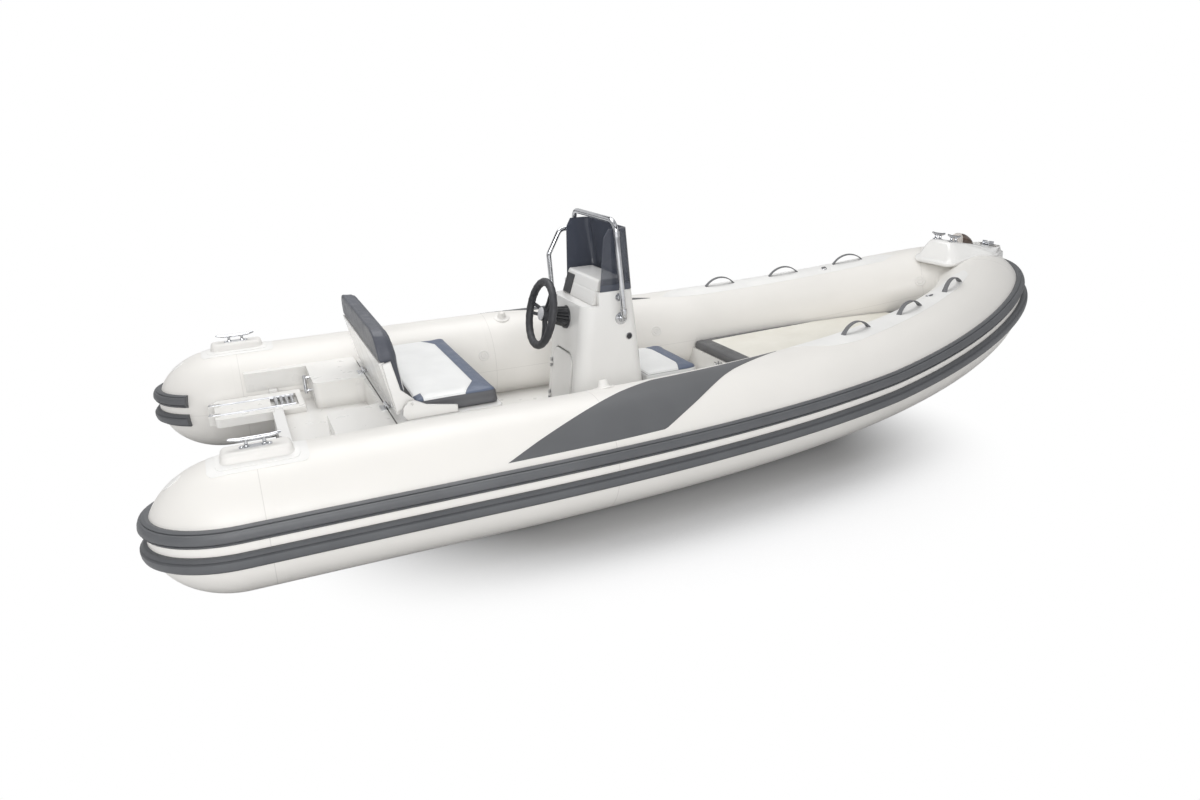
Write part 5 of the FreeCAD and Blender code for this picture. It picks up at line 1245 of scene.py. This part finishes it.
rail_wall = console_half(RAIL_FOOT)
hoop = [(st(RAIL_AFT), -rail_wall, RAIL_FOOT), (st(RAIL_AFT), -RAIL_ACROSS, RAIL_FOOT),
        (st(RAIL_TOP_AFT), -RAIL_ACROSS, RAIL_TOP)]
hoop += [(x, -y, z) for x, y, z in reversed(hoop)]
branch = [(st(2034), RAIL_ACROSS, 1.018), (st(1950), RAIL_ACROSS, 1.004), (st(1886), RAIL_ACROSS, 0.890),
          (st(BRANCH_AFT), RAIL_ACROSS, RAIL_FOOT), (st(BRANCH_AFT), rail_wall, RAIL_FOOT)]
rail_items = [sweep("hoop", hoop, 0.0125, STEEL, 0.055, 28), sweep("branch", branch, 0.0120, STEEL, 0.035, 28)]
for station, side in ((RAIL_AFT, -1), (RAIL_AFT, 1), (BRANCH_AFT, 1)):
    place = facing((st(station), side * rail_wall, RAIL_FOOT), Y * side)
    rail_items.append(lathe("flange", [(29.5, -2), (30, 1.5), (28.5, 4), (20, 5.2), (16, 6), (15, 16),
                                       (13, 17)], place, STEEL, 44))
    for turn in (30, 150, 270):
        spot = place @ Matrix.Rotation(math.radians(turn), 4, "Z") @ Matrix.Translation((0.0235, 0, 0.0035))
        rail_items.append(lathe("screw", [(3.6, 0), (3.4, 1.8), (2, 2.4)], spot, STEEL, 14))
for side in (-1, 1):
    for levels in ((1.026, 1.050), (0.668, 0.690)):
        ends = [(st(RAIL_AFT - (RAIL_AFT - RAIL_TOP_AFT) * (z - RAIL_FOOT) / (RAIL_TOP - RAIL_FOOT)),
                 side * RAIL_ACROSS, z) for z in levels]
        rail_items.append(sweep("sleeve", ends, 0.0152, STEEL, sides=28))
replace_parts(joined("rail", rail_items), "console_rail")


# Small fittings on the console

def on_wall(station, z):
    """A place on the starboard wall, standing out of it."""
    return Matrix.Translation((st(station), -console_half(z), z)) @ Matrix.Rotation(math.radians(90), 4, "X")


def on_door(y, z):
    """A place on the leaning rear face, standing out of it."""
    lean = math.atan2(CONSOLE_LEAN, CONSOLE_HEIGHT)
    point = (st(1800) + CONSOLE_LEAN * (z - CONSOLE_FOOT) / CONSOLE_HEIGHT, y, z)
    return facing(point, Vector((-math.cos(lean), 0, math.sin(lean))))


plug_place = on_wall(2098, 0.549)
joined("console_plug", [
    lathe("plug", [(13.5, -3), (13.5, 3), (12, 4.5), (8.5, 4.8), (8, 3), (0, 2.8)], plug_place, BLACK, 36),
    lathe("ring", [(16.5, -3), (16.5, 2), (14, 2.6)], plug_place, STEEL, 36)])
joined("rail_stud", [
    lathe("stud", [(19, -3), (19, 3), (16.5, 5.5), (12, 6), (11, 15), (9, 16.5),
                   (0, 17)], on_wall(2052, 0.741), STEEL)])
LATCH = [(8, -2), (8, 2), (7, 3), (4, 3.2), (3.5, 1.8), (0, 1.8)]
joined("door_latches", [lathe("latch", LATCH, on_door(y, z), BLACK, 28) for y, z in ((0.110, 0.42), (0.090, 0.36))],
       "console_door")


# Stage and light

FLOOR_REACH = 60
floor_mesh = bpy.data.meshes.new("floor")
floor_mesh.from_pydata([(x, y, 0) for x, y in rectangle(FLOOR_REACH, FLOOR_REACH)], [], [(0, 1, 2, 3)])
floor = bpy.data.objects.new("floor", floor_mesh)
bpy.context.scene.collection.objects.link(floor)


def floor_material():
    """A white floor with painted shadow, its colour darkened by ambient occlusion under and beside the boat, which
    fades to plain white in an oval round it.
    """
    material = bpy.data.materials.new("floor")
    material.use_nodes = True
    f = Tree(material.node_tree)
    f.tree.nodes.remove(f.tree.nodes["Principled BSDF"])
    # Painted shadow: ambient occlusion darkens the floor's colour near the hull.
    near = f.add("AmbientOcclusion", {"Distance": 1.2}, "AO", samples=12)
    painted_shadow_tone = f.ramp(near, (0.36, (0.40, 0.40, 0.402)), (0.97, (0.93, 0.93, 0.935)))
    plain = f.add("BsdfDiffuse", {"Color": painted_shadow_tone})
    lit = f.add("AddShader", {0: plain, 1: f.add("Emission", {"Color": painted_shadow_tone, "Strength": 0.10})})
    oval = f.add("Mapping", {"Location": (-0.2, -0.6, 0), "Scale": (1.72, 1.26, 1), "Vector": f.where()},
                 vector_type="TEXTURE")
    reach = f.add("VectorMath", {0: oval}, "Value", operation="LENGTH")
    fade = f.remap(reach, 0.45, 0.98, interpolation_type="SMOOTHSTEP")
    faded = f.add("MixShader", {0: fade, 1: lit, 2: f.add("Emission")})
    seen = f.add("LightPath", output="Is Camera Ray")
    f.fill(f.tree.nodes["Material Output"].inputs[0], f.add("MixShader", {0: seen, 1: plain, 2: faded}))
    return material


floor_mesh.materials.append(floor_material())

# What polished metal sees: a bright studio with dark bands at the horizon and overhead
ROOM_BANDS = ((0.05, 0.04), (0.11, 0.85), (0.42, 0.80), (0.48, 0.05), (0.62, 0.05), (0.68, 1.0), (0.84, 1.0),
              (0.92, 0.30))
WHITE = (1, 1, 1, 1)
world = bpy.data.worlds.new("World")
bpy.context.scene.world = world
world.use_nodes = True
sky = Tree(world.node_tree)
sky.tree.nodes.remove(sky.tree.nodes["Background"])
bands = sky.ramp(sky.xyz(sky.where("Generated"))["Z"], (0.0, (0.10, 0.105, 0.11)), (1.0, (0.75, 0.76, 0.78)),
                 *((place, (shade, shade, shade * 1.01)) for place, shade in ROOM_BANDS))
fill_light = sky.add("Background", {"Color": WHITE, "Strength": 0.48})
room = sky.add("Background", {"Color": bands, "Strength": 0.9})
backdrop = sky.add("Background", {"Color": WHITE, "Strength": 1.0})
shine = sky.add("MixShader", {0: sky.add("LightPath", output="Is Glossy Ray"), 1: fill_light, 2: room})
pick = sky.add("MixShader", {0: sky.add("LightPath", output="Is Camera Ray"), 1: shine, 2: backdrop})
sky.fill(sky.tree.nodes["World Output"].inputs[0], pick)


def lamp(name, place, aim, size, power):
    data = bpy.data.lights.new(name, "AREA")
    data.shape = "RECTANGLE"
    data.size, data.size_y = size
    data.energy = power
    item = bpy.data.objects.new(name, data)
    bpy.context.scene.collection.objects.link(item)
    item.location = place
    item.rotation_euler = (Vector(aim) - Vector(place)).to_track_quat("-Z", "Y").to_euler()


lamp("overhead", (-0.8, 1.6, 4.8), (0, 0, 0), (4.5, 3.0), 140)
lamp("side", (-2.5, -6.0, 2.6), (0, 0, 0.3), (4.5, 2.0), 190)
